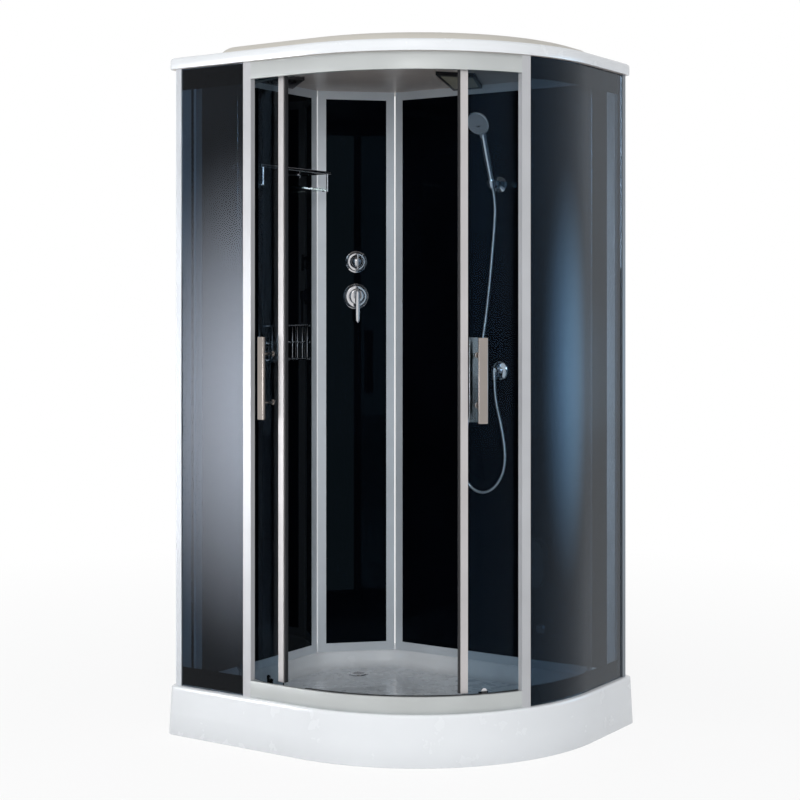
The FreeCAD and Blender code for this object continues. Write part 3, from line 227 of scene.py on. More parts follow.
UPRIGHT, LEVEL = (1, 1, 0.02), (0.05, 0.05, 1)
SMOKE = (0.17, 0.225, 0.285)
LOOK = {
    "acrylic": plastic("White_acrylic", (0.80, 0.82, 0.84), 0.24, 0.35, 500, 0.00001, 0.02),
    "basin": dimpled_acrylic("Basin_floor", (0.80, 0.84, 0.88)),
    # dome: the cover's white acrylic, painted darker and warmer as shade
    "dome": plastic("Dome_painted_shade", (0.60, 0.57, 0.51), 0.42),
    # ceiling: a white sheet, painted darker and brownish as shade
    "ceiling": plastic("Ceiling_painted_shade", (0.60, 0.53, 0.49), 0.4, 0.1),
    # wall frames: the satin metal painted lighter than the outer profiles, as painted light for
    # the dimmer inside of the cabin
    "frame": metal("Satin_frame_painted_light", (0.70, 0.74, 0.78), 0.38, UPRIGHT, blend=0.3),
    "rail": metal("Satin_rail", (0.50, 0.52, 0.515), 0.34, LEVEL, blend=0.45),
    "post": metal("Post", (0.56, 0.58, 0.61), 0.36, UPRIGHT, blend=0.08, specular=0.2),
    # right corner post: the post's metal darkened as painted shade, for a post edge that stands in
    # shadow
    "painted_shade_post": metal("Painted_shade_post", (0.16, 0.18, 0.20), 0.36, UPRIGHT, blend=0.45),
    "wire": metal("Chromed_wire", (0.30, 0.31, 0.33), 0.12, grain=80, variation=0.03),
    "profile": metal("Pale_profile", (0.50, 0.505, 0.52), 0.32, UPRIGHT, blend=0.08,
                     specular=0.2),
    "stile": metal("Door_stile", (0.50, 0.48, 0.48), 0.30, UPRIGHT, blend=0.4),
    "black_glass": mirror_glass("Black_glass", (0.0012, 0.0016, 0.0030)),
    "border": mirror_glass("Printed_border", (0.002, 0.002, 0.003), 0.08, 0.12),
    # the same smoked glass in each place, with its own painted reflection: bluer on the right
    # pane, paler on the left pane, darker on the doors
    "pane": clear_glass("Tinted_pane", SMOKE, 0.2, (0.10, 0.20, 0.32)),
    "left_pane": clear_glass("Tinted_left_pane", SMOKE, 0.2, (0.20, 0.23, 0.28)),
    # door glass: the smoked glass painted lighter, as painted light on the hose and fittings seen
    # through it
    "door_pane": clear_glass("Tinted_door_pane", (0.50, 0.60, 0.68), 0.2, (0.05, 0.09, 0.14)),
    "shelf": clear_glass("Shelf_glass", (0.70, 0.84, 0.84), 0.5),
    "chrome": metal("Chrome", (0.56, 0.56, 0.58), 0.06, grain=60, depth=0.000004, variation=0.02),
    "handle": metal("Brushed_handle", (0.31, 0.28, 0.26), 0.16, (1, 1, 0.05), grain=300,
                    variation=0.06),
    "shower_chrome": metal("Chromed_plastic", (0.60, 0.61, 0.63), 0.10, grain=80,
                           variation=0.03),
    "hose": metal("Hose_steel", (0.55, 0.56, 0.58), 0.22, grain=160, depth=0.00001),
    "rubber": plastic("Black_rubber", (0.012, 0.012, 0.013), 0.55, 0, 700, 0.00005),
    "seal": plastic("Seal_strip", (0.015, 0.015, 0.017), 0.45, 0, 700, 0.00003),
    "roller": plastic("Roller_nylon", (0.62, 0.63, 0.62), 0.38),
    "black": plastic("Black_plastic", (0.010, 0.010, 0.012), 0.30, 0.1, 700, 0.00004),
    "lens": plastic("Lamp_lens", (0.50, 0.48, 0.38), 0.35, 0.1),
    "steel": metal("Zinc_steel", (0.48, 0.49, 0.50), 0.42, (0.05, 1, 1)),
    "grey": plastic("Grey_plastic", (0.22, 0.23, 0.24), 0.45),
    "brass": metal("Rough_brass", (0.62, 0.46, 0.22), 0.35),
    "nozzle": plastic("Spray_nozzles", (0.20, 0.20, 0.21), 0.5),
    "spray_face": plastic("Spray_face", (0.34, 0.35, 0.37), 0.30, 0.2),
}


# ---------------------------------------------------------------- mesh tools

def split_edges(piece, angle):
    """Shade sharply across edges steeper than an angle."""
    split = piece.modifiers.new("Split", "EDGE_SPLIT")
    split.split_angle = math.radians(angle)


def dress(node, look, bevel=0.0):
    """Give a CAD node its finish and soft edges."""
    node.data.materials.clear()
    node.data.materials.append(LOOK[look])
    if bevel:
        modifier = node.modifiers.new("Softened", "BEVEL")
        modifier.width = bevel
        modifier.segments = 2
        modifier.limit_method = "ANGLE"
        modifier.angle_limit = math.radians(30)
        modifier.harden_normals = False
        split_edges(node, 30)


def make_piece(name, meshes, body, look, split=None, slot=None, smooth=True):
    """Link meshes as one piece, finish it and fix it to its body.

    A piece with a slot is only in the looks; any other stands for the CAD node of its name.
    """
    mesh = meshes[0] if len(meshes) == 1 else join_meshes(name, meshes)
    piece = bpy.data.objects.new(name, mesh)
    bpy.context.collection.objects.link(piece)
    mesh.materials.append(LOOK[look])
    if smooth:
        for face in mesh.polygons:
            face.use_smooth = True
    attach(piece, body)
    if slot:
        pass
    else:
        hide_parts(name.lower())
    if split:
        split_edges(piece, split)
    return piece


def to_mesh(name, shape):
    """A new mesh from a bmesh, which is freed."""
    mesh = bpy.data.meshes.new(name)
    shape.to_mesh(mesh)
    shape.free()
    return mesh


def mesh_from(name, vertices, faces):
    mesh = bpy.data.meshes.new(name)
    mesh.from_pydata([tuple(v) for v in vertices], [], faces)
    mesh.validate()
    shape = bmesh.new()
    shape.from_mesh(mesh)
    bmesh.ops.recalc_face_normals(shape, faces=shape.faces)
    shape.to_mesh(mesh)
    shape.free()
    return mesh


def join_meshes(name, meshes, weld=0):
    """One mesh from several, with points closer than the weld made one."""
    together = bmesh.new()
    for mesh in meshes:
        together.from_mesh(mesh)
    if weld:
        bmesh.ops.remove_doubles(together, verts=together.verts, dist=weld)
        bmesh.ops.recalc_face_normals(together, faces=together.faces)
    return to_mesh(name, together)


def skin(name, loops, start=True, end=True):
    """A mesh through closed loops of equal length, with a face at its start and its end."""
    count = len(loops[0])
    vertices = [point for loop in loops for point in loop]
    faces = []
    for row in range(len(loops) - 1):
        for column in range(count):
            after = (column + 1) % count
            faces.append((row * count + column, row * count + after,
                          (row + 1) * count + after, (row + 1) * count + column))
    if start:
        faces.append(tuple(range(count))[::-1])
    if end:
        faces.append(tuple(range((len(loops) - 1) * count, len(loops) * count)))
    return mesh_from(name, vertices, faces)


def plate_between(name, loops):
    """A flat face inside the first loop and round the second."""
    shape = bmesh.new()
    edges = []
    for loop in loops:
        rim = [shape.verts.new(point) for point in loop]
        edges += [shape.edges.new(pair) for pair in zip(rim, rim[1:] + rim[:1])]
    bmesh.ops.triangle_fill(shape, edges=edges, use_beauty=True)
    return to_mesh(name, shape)


def circle(count):
    """Cosine and sine of even steps round a circle."""
    angles = [2 * math.pi * n / count for n in range(count)]
    return [(math.cos(a), math.sin(a)) for a in angles]


def turns(count, degrees=90):
    """Even steps of a turn, without its start."""
    return [math.radians(degrees * step / count) for step in range(1, count + 1)]


def front_path(start, end, straight_from=None, side_to=None):
    """Stations (base x, base y, outward x, outward y) along the curved front."""
    stations = []
    if straight_from is not None:
        stations.append((straight_from, ARC_Y, 0.0, -1.0))
    count = max(2, int(abs(end - start) / 1.5) + 1)
    for number in range(count + 1):
        angle = math.radians(start + (end - start) * number / count)
        stations.append((ARC_X, ARC_Y, math.sin(angle), -math.cos(angle)))
    if side_to is not None:
        stations.append((ARC_X, side_to, 1.0, 0.0))
    return stations


def sweep(name, profile, stations):
    """Carry a closed profile of (radius, height) points along stations."""
    return skin(name, [[Vector((bx + nx * r, by + ny * r, z)) for r, z in profile]
                       for bx, by, nx, ny in stations])


def lathe(name, profile, matrix, steps):
    """Turn a (radius, height) profile about local Z and place it."""
    return skin(name, [[matrix @ Vector((max(radius, AXIS_RADIUS) * c,
                                         max(radius, AXIS_RADIUS) * s, height))
                        for c, s in circle(steps)] for radius, height in profile])


def rounded_bar(name, size, radius, matrix, steps):
    """A block with rounded edges, centred on its matrix."""
    block = bmesh.new()
    bmesh.ops.create_cube(block, size=1)
    bmesh.ops.scale(block, vec=Vector(size), verts=block.verts)
    bmesh.ops.bevel(block, geom=block.edges[:], offset=radius, segments=steps, profile=0.5,
                    affect="EDGES")
    bmesh.ops.transform(block, matrix=matrix, verts=block.verts)
    return to_mesh(name, block)


def smooth_line(points, per_span):
    """Points on a Catmull-Rom line through the given ones."""
    points = [Vector(p) for p in points]
    padded = [points[0] * 2 - points[1]] + points + [points[-1] * 2 - points[-2]]
    line = []
    for index in range(1, len(padded) - 2):
        a, b, c, d = padded[index - 1:index + 3]
        for number in range(per_span):
            t = number / per_span
            line.append(0.5 * ((2 * b) + (c - a) * t + (2 * a - 5 * b + 4 * c - d) * t * t
                               + (3 * b - a - 3 * c + d) * t * t * t))
    line.append(points[-1])
    return line


def tube(name, points, radii, steps):
    """A round tube along points; radii is one radius or one for each point."""
    points = [Vector(p) for p in points]
    if isinstance(radii, float):
        radii = [radii] * len(points)
    loops = []
    side = None
    for index, (point, radius) in enumerate(zip(points, radii)):
        before = points[max(index - 1, 0)]
        after = points[min(index + 1, len(points) - 1)]
        along = (after - before).normalized()
        if side is None:
            side = along.orthogonal().normalized()
        side = (side - along * side.dot(along)).normalized()
        up = along.cross(side)
        loops.append([point + (side * c + up * s) * radius for c, s in circle(steps)])
    return skin(name, loops)


def from_axes(across, up, out, place=(0, 0, 0)):
    """A matrix with these axes at a place."""
    rows = [(across[i], up[i], out[i], place[i]) for i in range(3)]
    return Matrix((*rows, (0, 0, 0, 1)))


def facing(out, place):
    """A matrix whose +Z points along a level direction, and whose +Y points up."""
    up = Vector((0, 0, 1))
    return from_axes(up.cross(out), up, out, place)


def on_wall(wall, x, y, z):
    """A place on a wall: +Z into the cabin, +Y up."""
    turn = math.radians(INTO_CABIN[wall])
    return facing(Vector((math.cos(turn), math.sin(turn), 0)), (x, y, z))


def on_front(angle, radius, z):
    """A place on the curved front: +Z outwards, +Y up, +X along the curve."""
    turn = math.radians(angle)
    out = Vector((math.sin(turn), -math.cos(turn), 0))
    return facing(out, (ARC_X + out.x * radius, ARC_Y + out.y * radius, z))


def at(x, y, z):
    """A matrix that only moves."""
    return Matrix.Translation((x, y, z))


# ---------------------------------------------------------------- shower hose

HOSE_RADIUS, RIB_DEPTH, RIB_PITCH, HOSE_STEP = 0.0060, 0.00045, 0.0036, 0.0009
HOSE = (
    (0.130, 0.328249, 1.713073), (0.130, 0.346547, 1.662799), (0.127, 0.347, 1.595),
    (0.121, 0.342, 1.500), (0.113, 0.340, 1.405), (0.102, 0.339, 1.310), (0.088, 0.338, 1.215),
    (0.070, 0.338, 1.120), (0.050, 0.340, 1.028), (0.030, 0.341, 0.945), (0.014, 0.342, 0.870),
    (0.008, 0.342, 0.806), (0.018, 0.341, 0.754), (0.046, 0.340, 0.720), (0.086, 0.339, 0.710),
    (0.126, 0.339, 0.726), (0.157, 0.340, 0.764), (0.171, 0.341, 0.816), (0.167, 0.342, 0.872),
    (0.154, 0.342, 0.938), (0.138, 0.342, 0.998), (0.130, 0.342, 1.044), (0.130, 0.342, 1.082),
)


def hose_line():
    """Evenly spaced points along the smooth curve that HOSE steers."""
    curve = bpy.data.curves.new("Hose_line", "CURVE")
    curve.dimensions = "3D"
    spline = curve.splines.new("NURBS")
    spline.points.add(len(HOSE) - 1)
    for point, (x, y, z) in zip(spline.points, HOSE):
        point.co = (x, y, z, 1)
    spline.order_u = 3
    spline.use_endpoint_u = True
    spline.resolution_u = 24
    guide = bpy.data.objects.new("Hose_guide", curve)
    bpy.context.collection.objects.link(guide)
    bpy.context.view_layer.update()
    evaluated = guide.evaluated_get(bpy.context.evaluated_depsgraph_get())
    line_mesh = bpy.data.meshes.new_from_object(evaluated)
    raw = [v.co.copy() for v in line_mesh.vertices]
    bpy.data.objects.remove(guide)
    bpy.data.meshes.remove(line_mesh)
    line = [raw[0]]
    carry = 0.0
    for a, b in zip(raw, raw[1:]):
        length = (b - a).length
        place = HOSE_STEP - carry
        while place <= length:
            line.append(a.lerp(b, place / length))
            place += HOSE_STEP
        carry = length - (place - HOSE_STEP)
    if (raw[-1] - line[-1]).length > 1e-5:
        line.append(raw[-1])
    return line


def make_hose():
    """Chromed metal hose with wound ribs along one smooth line."""
    line = hose_line()
    waves = [math.cos(2 * math.pi * index * HOSE_STEP / RIB_PITCH) for index in range(len(line))]
    ribs = [HOSE_RADIUS - RIB_DEPTH * (1 + wave) / 2 for wave in waves]
    hose = make_piece("Shower_hose", [tube("Shower_hose", line, ribs, 14)], "cabin", "hose")


make_hose()


# ---------------------------------------------------------------- tray and roof

def outline(left, front, back, corner, z):
    """A loop round the cabin's plan at a height, drawn in from the tray's edges."""
    low_x, low_y = -HALF_WIDTH + left, -HALF_DEPTH + front
    high_x, high_y = HALF_WIDTH - front, HALF_DEPTH - back
    radius = high_x - ARC_X
    points = []
    for turn in (0.0, *turns(72)):
        points.append((ARC_X + radius * math.sin(turn), ARC_Y - radius * math.cos(turn)))
    for cx, cy, first in (
        (high_x - corner, high_y - corner, 0),
        (low_x + corner, high_y - corner, 90),
        (low_x + corner, low_y + corner, 180),
    ):
        for number in range(13):
            angle = math.radians(first + 90 * number / 12)
            points.append((cx + corner * math.cos(angle), cy + corner * math.sin(angle)))
    return [Vector((x, y, z)) for x, y in points]


def soft_min(a, b):
    """The smaller of two values, with a soft change from one to the other."""
    reach = 0.05
    share = max(reach - abs(a - b), 0) / reach
    return min(a, b) - share * share * reach * 0.25


def basin_depth(x, y):
    """How far a point lies inside the basin's outline."""
    gap = 0.003
    left = x - (LEFT_WALL + gap)
    back = (BACK_WALL - gap) - y
    column = ((x - y) - (COLUMN[0] - COLUMN[1])) / math.sqrt(2) - gap
    curve = 0.550 - math.hypot(max(x - ARC_X, 0), max(ARC_Y - y, 0))
    return soft_min(soft_min(soft_min(left, back), column), curve)


def basin_loop(inset, z):
    """The basin's outline drawn in by an inset, as a loop at a height."""
    centre = Vector((-0.03, 0.06))
    points = []
    for direction in (Vector(pair) for pair in circle(168)):
        near, far = 0.0, 0.9
        for _ in range(30):
            middle = (near + far) / 2
            spot = centre + direction * middle
            if basin_depth(spot.x, spot.y) > inset:
                near = middle
            else:
                far = middle
        points.append(Vector((*(centre + direction * near), z)))
    return points


def make_tray():
    """Acrylic tray with a rolled lip, a rounded basin and a floor round the drain."""
    rims = [(0.014, 0.094), (0.008, 0.0015), (0.006, 0.0), (0.0015, 0.0), (0.0, 0.0016),
            (0.0028, 0.070), (0.0056, 0.138)]
    rims += [(0.0056 + 0.007 * (1 - math.cos(turn)), 0.143 + 0.007 * math.sin(turn))
             for turn in turns(7)]
    walls = [outline(inset, inset, inset, CORNER, z) for inset, z in rims]
    bowl = [basin_loop(inset, z) for inset, z in (
        (0.0, 0.150), (0.0016, 0.1494), (0.0042, 0.1468), (0.0075, 0.141), (0.0115, 0.132),
        (0.016, 0.1225), (0.021, 0.1150), (0.027, 0.1095), (0.034, 0.1055), (0.043, 0.1030),
        (0.053, BASIN_FLOOR))]
    shapes = [skin("Tray_skirt", walls, end=False), skin("Tray_bowl", bowl, False, False),
              plate_between("Tray_deck", (walls[-1], bowl[0]))]
    make_piece("Tray", [join_meshes("Tray", shapes, weld=0.00002)], "cabin", "acrylic", 50)

    drain_x, drain_y, drain_radius = -0.292, 0.168, 0.0240
    hole = [(drain_x + drain_radius * c, drain_y + drain_radius * s, BASIN_FLOOR)
            for c, s in circle(40)]
    make_piece("Basin_floor", [plate_between("Basin_floor", (bowl[-1], hole))], "cabin", "basin",
               slot="white_acrylic")


def make_roof():
    """White cover with a soft top edge, and the raised dome on it, whose acrylic is painted darker
    and warmer as shade.
    """
    edge = [(0.005, 2.0850), (0.005, 2.0560), (0.0045, 2.0550), (0.0008, 2.0550), (0.0, 2.0562),
            (0.0, 2.0780)]
    edge += [(0.009 * (1 - math.cos(turn)), 2.0790 + 0.0110 * math.sin(turn)) for turn in turns(7)]
    cover = [outline(inset, 0.006 + inset, 0.012 + inset, CORNER, z) for inset, z in edge]
    make_piece("Roof_cover", [skin("Roof_cover", cover)], "cabin", "acrylic", 50)

    dome = [outline(left, left - 0.060, back, corner, z) for left, back, corner, z in (
        (0.128, 0.118, 0.05, 2.0895), (0.129, 0.119, 0.05, 2.0925), (0.132, 0.124, 0.05, 2.0990),
        (0.136, 0.131, 0.05, 2.1060), (0.142, 0.140, 0.05, 2.1130), (0.150, 0.150, 0.05, 2.1185),
        (0.164, 0.164, 0.05, 2.1220), (0.190, 0.190, 0.05, 2.1243), (0.250, 0.250, 0.05, 2.1255),
        (0.380, 0.330, 0.03, 2.1260))]
    # the dome's look is painted shade over the cover's white acrylic
    make_piece("Roof_dome", [skin("Roof_dome", dome)], "cabin", "dome")


make_tray()
make_roof()


# ---------------------------------------------------------------- curved glass and rails

def curved_pane(name, inner, outer, low, high, stations, body, look):
    """A curved pane with narrow chamfers at its top and foot."""
    edge = 0.0008
    profile = [(inner, low + edge), (inner + edge, low), (outer - edge, low), (outer, low + edge),
               (outer, high - edge), (outer - edge, high), (inner + edge, high),
               (inner, high - edge)]
    make_piece(name, [sweep(name, profile, stations)], body, look, 30)


def make_glass():
    curved_pane("Right_fixed_glass", PANE_IN, PANE_OUT, PANE_LOW, PANE_HIGH,
                front_path(63.33, 90, side_to=0.4137), "cabin", "pane")
    for door, start, end in (("left_door", -38.4, -9.18), ("right_door", 46.23, 99.45)):
        curved_pane(f"{door}_glass".capitalize(), DOOR_IN, DOOR_OUT, DOOR_LOW, DOOR_HIGH,
                    front_path(start, end), door, "door_pane")
    dress(nodes["left_fixed_glass"], "left_pane", 0.0006)


def make_borders():
    """Black printed bands behind the edges of the fixed panes."""
    inner, outer = PANE_IN - 0.0007, PANE_IN - 0.0001
    thick = 0.0006
    for name, low, high in (("top", 1.990, 2.052), ("foot", 0.154, 0.209)):
        profile = [(inner, low), (outer, low), (outer, high), (inner, high)]
        right = sweep(f"Right_border_{name}", profile, front_path(66.2, 90, side_to=0.392))
        make_piece(f"Right_border_{name}", [right], "cabin", "border", 35, "black_glass")
        left = rounded_bar(f"Left_border_{name}", (0.244, thick, high - low), 0.0001,
                           at(-0.405, -0.4397, (low + high) / 2), 1)
        make_piece(f"Left_border_{name}", [left], "cabin", "border", slot="black_glass",
                   smooth=False)
    side = rounded_bar("Left_border_side", (0.044, thick, 1.90), 0.0001,
                       at(-0.5055, -0.4391, 1.1025), 1)
    make_piece("Left_border_side", [side], "cabin", "border", slot="black_glass", smooth=False)


def make_rails():
    """Head and sill rails: fascia with lips, web and the round track behind."""
    head_face = [(0.6165, 2.0550), (0.6165, 2.0075), (0.6085, 2.0062), (0.6075, 2.0050),
                 (0.6078, 2.0034), (0.6095, 2.0030), (0.6192, 2.0030), (0.6200, 2.0038),
                 (0.6200, 2.0540), (0.6194, 2.0550)]
    head_web = [(0.5980, 2.0510), (0.6166, 2.0510), (0.6166, 2.0550), (0.5980, 2.0550)]
    head_track = [(0.5560, 2.0105), (0.5565, 2.0100), (0.5775, 2.0100), (0.5780, 2.0105),
                  (0.5780, 2.0135), (0.5775, 2.0140), (0.5600, 2.0140), (0.5600, 2.0510),
                  (0.5980, 2.0510), (0.5980, 2.0550), (0.5560, 2.0550)]
    sill_face = [(0.6165, 0.1500), (0.6165, 0.1955), (0.6095, 0.1966), (0.6090, 0.1985),
                 (0.6098, 0.1997), (0.6190, 0.2000), (0.6200, 0.1990), (0.6200, 0.1512),
                 (0.6192, 0.1500)]
    sill_web = [(0.5980, 0.1500), (0.6166, 0.1500), (0.6166, 0.1540), (0.5980, 0.1540)]
    sill_track = [(0.5560, 0.1500), (0.5980, 0.1500), (0.5980, 0.1675), (0.5975, 0.1680),
                  (0.5955, 0.1680), (0.5950, 0.1675), (0.5950, 0.1540), (0.5830, 0.1540),
                  (0.5830, 0.1675), (0.5825, 0.1680), (0.5805, 0.1680), (0.5800, 0.1675),
                  (0.5800, 0.1540), (0.5560, 0.1540)]
    fascia = front_path(0, 62.95, straight_from=-0.2534)
    web = front_path(0, 62.95)
    ring = front_path(-40, 106)
    for name, profiles in (("Head_rail", (head_face, head_web, head_track)),
                           ("Sill_rail", (sill_face, sill_web, sill_track))):
        make_piece(name, [sweep("part", profile, path)
                          for profile, path in zip(profiles, (fascia, web, ring))],
                   "cabin", "rail", 35)
    strip = [(0.5990, 0.1995), (0.6085, 0.1995), (0.6085, 0.2006), (0.5990, 0.2006)]
    make_piece("Sill_seal", [sweep("Sill_seal", strip, front_path(0.5, 62.5))], "cabin", "seal",
               slot="black_rubber")


make_glass()
make_borders()
make_rails()


# ---------------------------------------------------------------- door fittings

def make_handle(door, side, angle, centre):
    """Flat bar with two standoffs and rosettes, outside or inside the door's glass."""
    face, out = (DOOR_OUT, 1) if side == "outer" else (DOOR_IN - 0.00025, -1)
    parts = [rounded_bar("bar", (0.028, 0.248, 0.009), 0.0018,
                         on_front(angle, centre, HANDLE_HEIGHT), 3)]
    for shift in (-0.0725, 0.0725):
        place = on_front(angle, 0, HANDLE_HEIGHT + shift)
        post = [(0.005, face + out * 0.001), (0.005, centre - out * 0.003)]
        disc = [(0.009, face), (0.009, face + out * 0.002), (0.008, face + out * 0.003),
                (0.005, face + out * 0.0034)]
        parts += [lathe("post", post[::out], place, 24), lathe("disc", disc[::out], place, 28)]
    make_piece(f"{door}_handle_{side}".capitalize(), parts, door, "handle", 40)


def make_wheel(name, angle):
    """Grooved nylon roller."""
    profile = [(0.00305, -0.005), (0.0105, -0.005), (0.0120, -0.0042), (0.0120, -0.0018),
               (0.0108, -0.0004), (0.0108, 0.0004), (0.0120, 0.0018), (0.0120, 0.0042),
               (0.0105, 0.005), (0.00305, 0.005)]
    mesh = lathe(name.capitalize(), profile, on_front(angle, WHEEL_PATH, WHEEL_HEIGHT), 40)
    make_piece(name.capitalize(), [mesh], name, "roller", 35)


for door, handle_angle, leading, trailing in (("left_door", -13.6, -15.4, -34.4),
                                              ("right_door", 50.65, 52.45, 95.45)):
    make_handle(door, "outer", handle_angle, HANDLE_OUTER)
    make_handle(door, "inner", handle_angle, HANDLE_INNER)
    make_wheel(f"{door}_leading_wheel", leading)
    make_wheel(f"{door}_trailing_wheel", trailing)
    dress(nodes[f"{door}_stile"], "stile", 0.0009)
    dress(nodes[f"{door}_magnetic_seal"], "seal", 0.0006)
    dress(nodes[f"{door}_roller_carriers"], "chrome", 0.0005)


# ---------------------------------------------------------------- controls

def make_plates():
    """Round plates of the two controls."""
    for name, height, radius in (("diverter_escutcheon", DIVERTER_HEIGHT, 0.037),
                                 ("mixer_escutcheon", MIXER_HEIGHT, 0.0435)):
        profile = [(0.0085, 0.0), (radius, 0.0), (radius, 0.0012)]
        for turn in turns(8):
            profile.append((radius - 0.004 - (radius * 0.16) * (1 - math.cos(turn)),
                            0.0016 + 0.0064 * math.sin(turn)))
        profile.append((0.0085, 0.0080))
        plate = lathe(name, profile, on_wall("column", *COLUMN, height), 72)
        make_piece(name.capitalize(), [plate], "cabin", "chrome", 50)


def make_knob():
    """Domed diverter knob with a grip bar."""
    place = on_wall("column", *COLUMN, DIVERTER_HEIGHT)
    profile = [(0.00405, 0.0085), (0.0225, 0.0085), (0.0238, 0.0100), (0.0240, 0.0135)]
    for turn in turns(9, 88):
        profile.append((0.0240 * math.cos(turn) * 0.92 + 0.0005, 0.0160 + 0.0160 * math.sin(turn)))
    grip = rounded_bar("grip", (0.007, 0.056, 0.008), 0.0028, place @ at(0, 0, 0.0305), 4)
    make_piece("Diverter_knob", [lathe("knob", profile, place, 64), grip], "diverter_knob",
               "chrome", 60)


def make_mixer():
    """Turning cap with two cheeks, and the flat lever between them."""
    place = on_wall("column", *COLUMN, MIXER_HEIGHT)
    profile = [(0.00405, 0.0085), (0.0262, 0.0085), (0.0270, 0.0100), (0.0270, 0.0200)]
    for turn in turns(7, 88):
        profile.append((0.0270 - 0.009 * (1 - math.cos(turn)), 0.0200 + 0.0045 * math.sin(turn)))
    profile.append((0.0001, 0.0246))
    parts = [lathe("cap", profile, place, 64)]
    for side in (-0.0105, 0.0105):
        parts.append(rounded_bar("cheek", (0.0045, 0.026, 0.017), 0.0015,
                                 place @ at(side, 0.006, 0.0300), 3))
    make_piece("Mixer_cap", parts, "mixer_cap", "chrome", 50)

    blade = []
    length, tip = 0.111, 0.9
    for number in range(15):
        share = number / 14
        if share < tip:
            half = 0.0068 + 0.0010 * math.sin(math.pi * share)
        else:
            half = 0.0074 * math.sqrt(max(0.05, 1 - ((share - tip) / 0.1) ** 2))
        thick = 0.0045 - 0.0012 * share
        blade.append([place @ Vector((half * math.copysign(abs(c) ** 0.5, c),
                                      0.021 - length * share,
                                      0.0325 + thick * math.copysign(abs(s) ** 0.5, s)))
                      for c, s in circle(20)])
    make_piece("Mixer_lever", [skin("Mixer_lever", blade)], "mixer_lever", "chrome")


# ---------------------------------------------------------------- hand shower

def make_hand_shower():
    """Chromed hand shower on the tilted axis of its holder, with its spray face."""
    place = at(0.130, 0.325, 1.722) @ Matrix.Rotation(math.radians(20), 4, "X")
    grip = [
        (0.0102, -0.0085), (0.0102, -0.0150), (0.0122, -0.0150), (0.0130, -0.0140),
        (0.0130, 0.0100), (0.0122, 0.0128), (0.0106, 0.0160), (0.0102, 0.0210), (0.0106, 0.0400),
        (0.0118, 0.0700), (0.0121, 0.1000), (0.0116, 0.1300), (0.0113, 0.1500), (0.0118, 0.1650),
        (0.0130, 0.1800), (0.0138, 0.1930), (0.0120, 0.2040), (0.0060, 0.2075), (0.0001, 0.2080),
    ]
    nod = math.radians(12)
    normal = Vector((0, -math.cos(nod), -math.sin(nod)))
    across = Vector((1, 0, 0))
    face = place @ at(0, -0.024, 0.207) @ from_axes(across, normal.cross(across), normal)
    shell = [(0.0001, -0.0200)]
    shell += [(0.0400 * math.sin(turn), -0.0035 - 0.0165 * math.cos(turn)) for turn in turns(14)]
    shell += [(0.0400, -0.0008), (0.0393, 0.0), (0.0375, 0.0), (0.0373, -0.0010),
              (0.0373, -0.0040), (0.0001, -0.0040)]
    bend = smooth_line([(0, 0.000, 0.150), (0, 0.001, 0.172), (0, -0.002, 0.194),
                        (0, -0.011, 0.209)], 6)
    neck = tube("neck", [place @ point for point in bend],
                [0.0113 + 0.007 * min(1, n / 18) ** 1.5 for n in range(19)], 32)
    parts = [lathe("grip", grip, place, 40), lathe("head", shell, face, 64), neck]
    make_piece("Hand_shower", parts, "shower_holder", "shower_chrome", 60)

    ring = [(0.0001, -0.0037), (0.0368, -0.0037), (0.0370, -0.0030), (0.0370, 0.0014),
            (0.0362, 0.0022), (0.0340, 0.0024), (0.0325, 0.0016), (0.0320, 0.0010),
            (0.0001, 0.0010)]
    tab = rounded_bar("tab", (0.005, 0.018, 0.0020), 0.0009, face @ at(0, -0.042, 0.0013), 3)
    make_piece("Spray_ring", [lathe("ring", ring, face, 72), tab], "spray_ring", "spray_face", 50)

    nozzle = [(0.0013, 0), (0.0012, 0.0008), (0.0007, 0.0015), (0.0001, 0.0016)]
    dots = [lathe("dot", nozzle, face @ at(radius * c, radius * s, 0.0008), 10)
            for radius, count in ((0.006, 5), (0.013, 10), (0.020, 16), (0.027, 22))
            for c, s in circle(count)]
    make_piece("Spray_nozzles", dots, "spray_ring", "nozzle", slot="black_rubber")


make_plates()
make_knob()
make_mixer()
make_hand_shower()


# ---------------------------------------------------------------- wall fittings

def make_generator():
    """Steam generator: a folded steel case with a lid, a seam, and black bars as painted shade in
    its cooling vents.
    """
    node = nodes["steam_generator"]
    corners = [node.matrix_world @ Vector(corner) for corner in node.bound_box]
    low = Vector(min(c[axis] for c in corners) for axis in range(3))
    high = Vector(max(c[axis] for c in corners) for axis in range(3))
    middle = (low + high) / 2
    side = high.x - low.x
    lid = 0.022
    height = high.z - low.z - lid - 0.003
    parts = [rounded_bar("box", (width, width, tall), radius, at(middle.x, middle.y, z), steps)
             for width, tall, radius, z, steps in (
                 (side - 0.003, height, 0.004, low.z + height / 2, 3),
                 (side - 0.009, 0.006, 0.001, high.z - lid - 0.0015, 1),
                 (side, lid, 0.005, high.z - lid / 2, 4))]
    make_piece("Steam_generator", parts, "cabin", "steel", 40)
    # black bars on the case walls: painted shade where the cooling openings are
    slots = []
    for number in range(7):
        centre = at(middle.x, middle.y, high.z - 0.060 - number * 0.011)
        for turn in (0, math.pi / 2, math.pi, -math.pi / 2):
            place = centre @ Matrix.Rotation(turn, 4, "Z") @ at(0, side / 2 - 0.0013, 0)
            slots.append(rounded_bar("slot", (side * 0.5, 0.0008, 0.004), 0.0003, place, 1))
    # the bars take black as painted shade of the openings
    make_piece("Generator_slot_shade", slots, "cabin", "black", slot="zinc_steel")


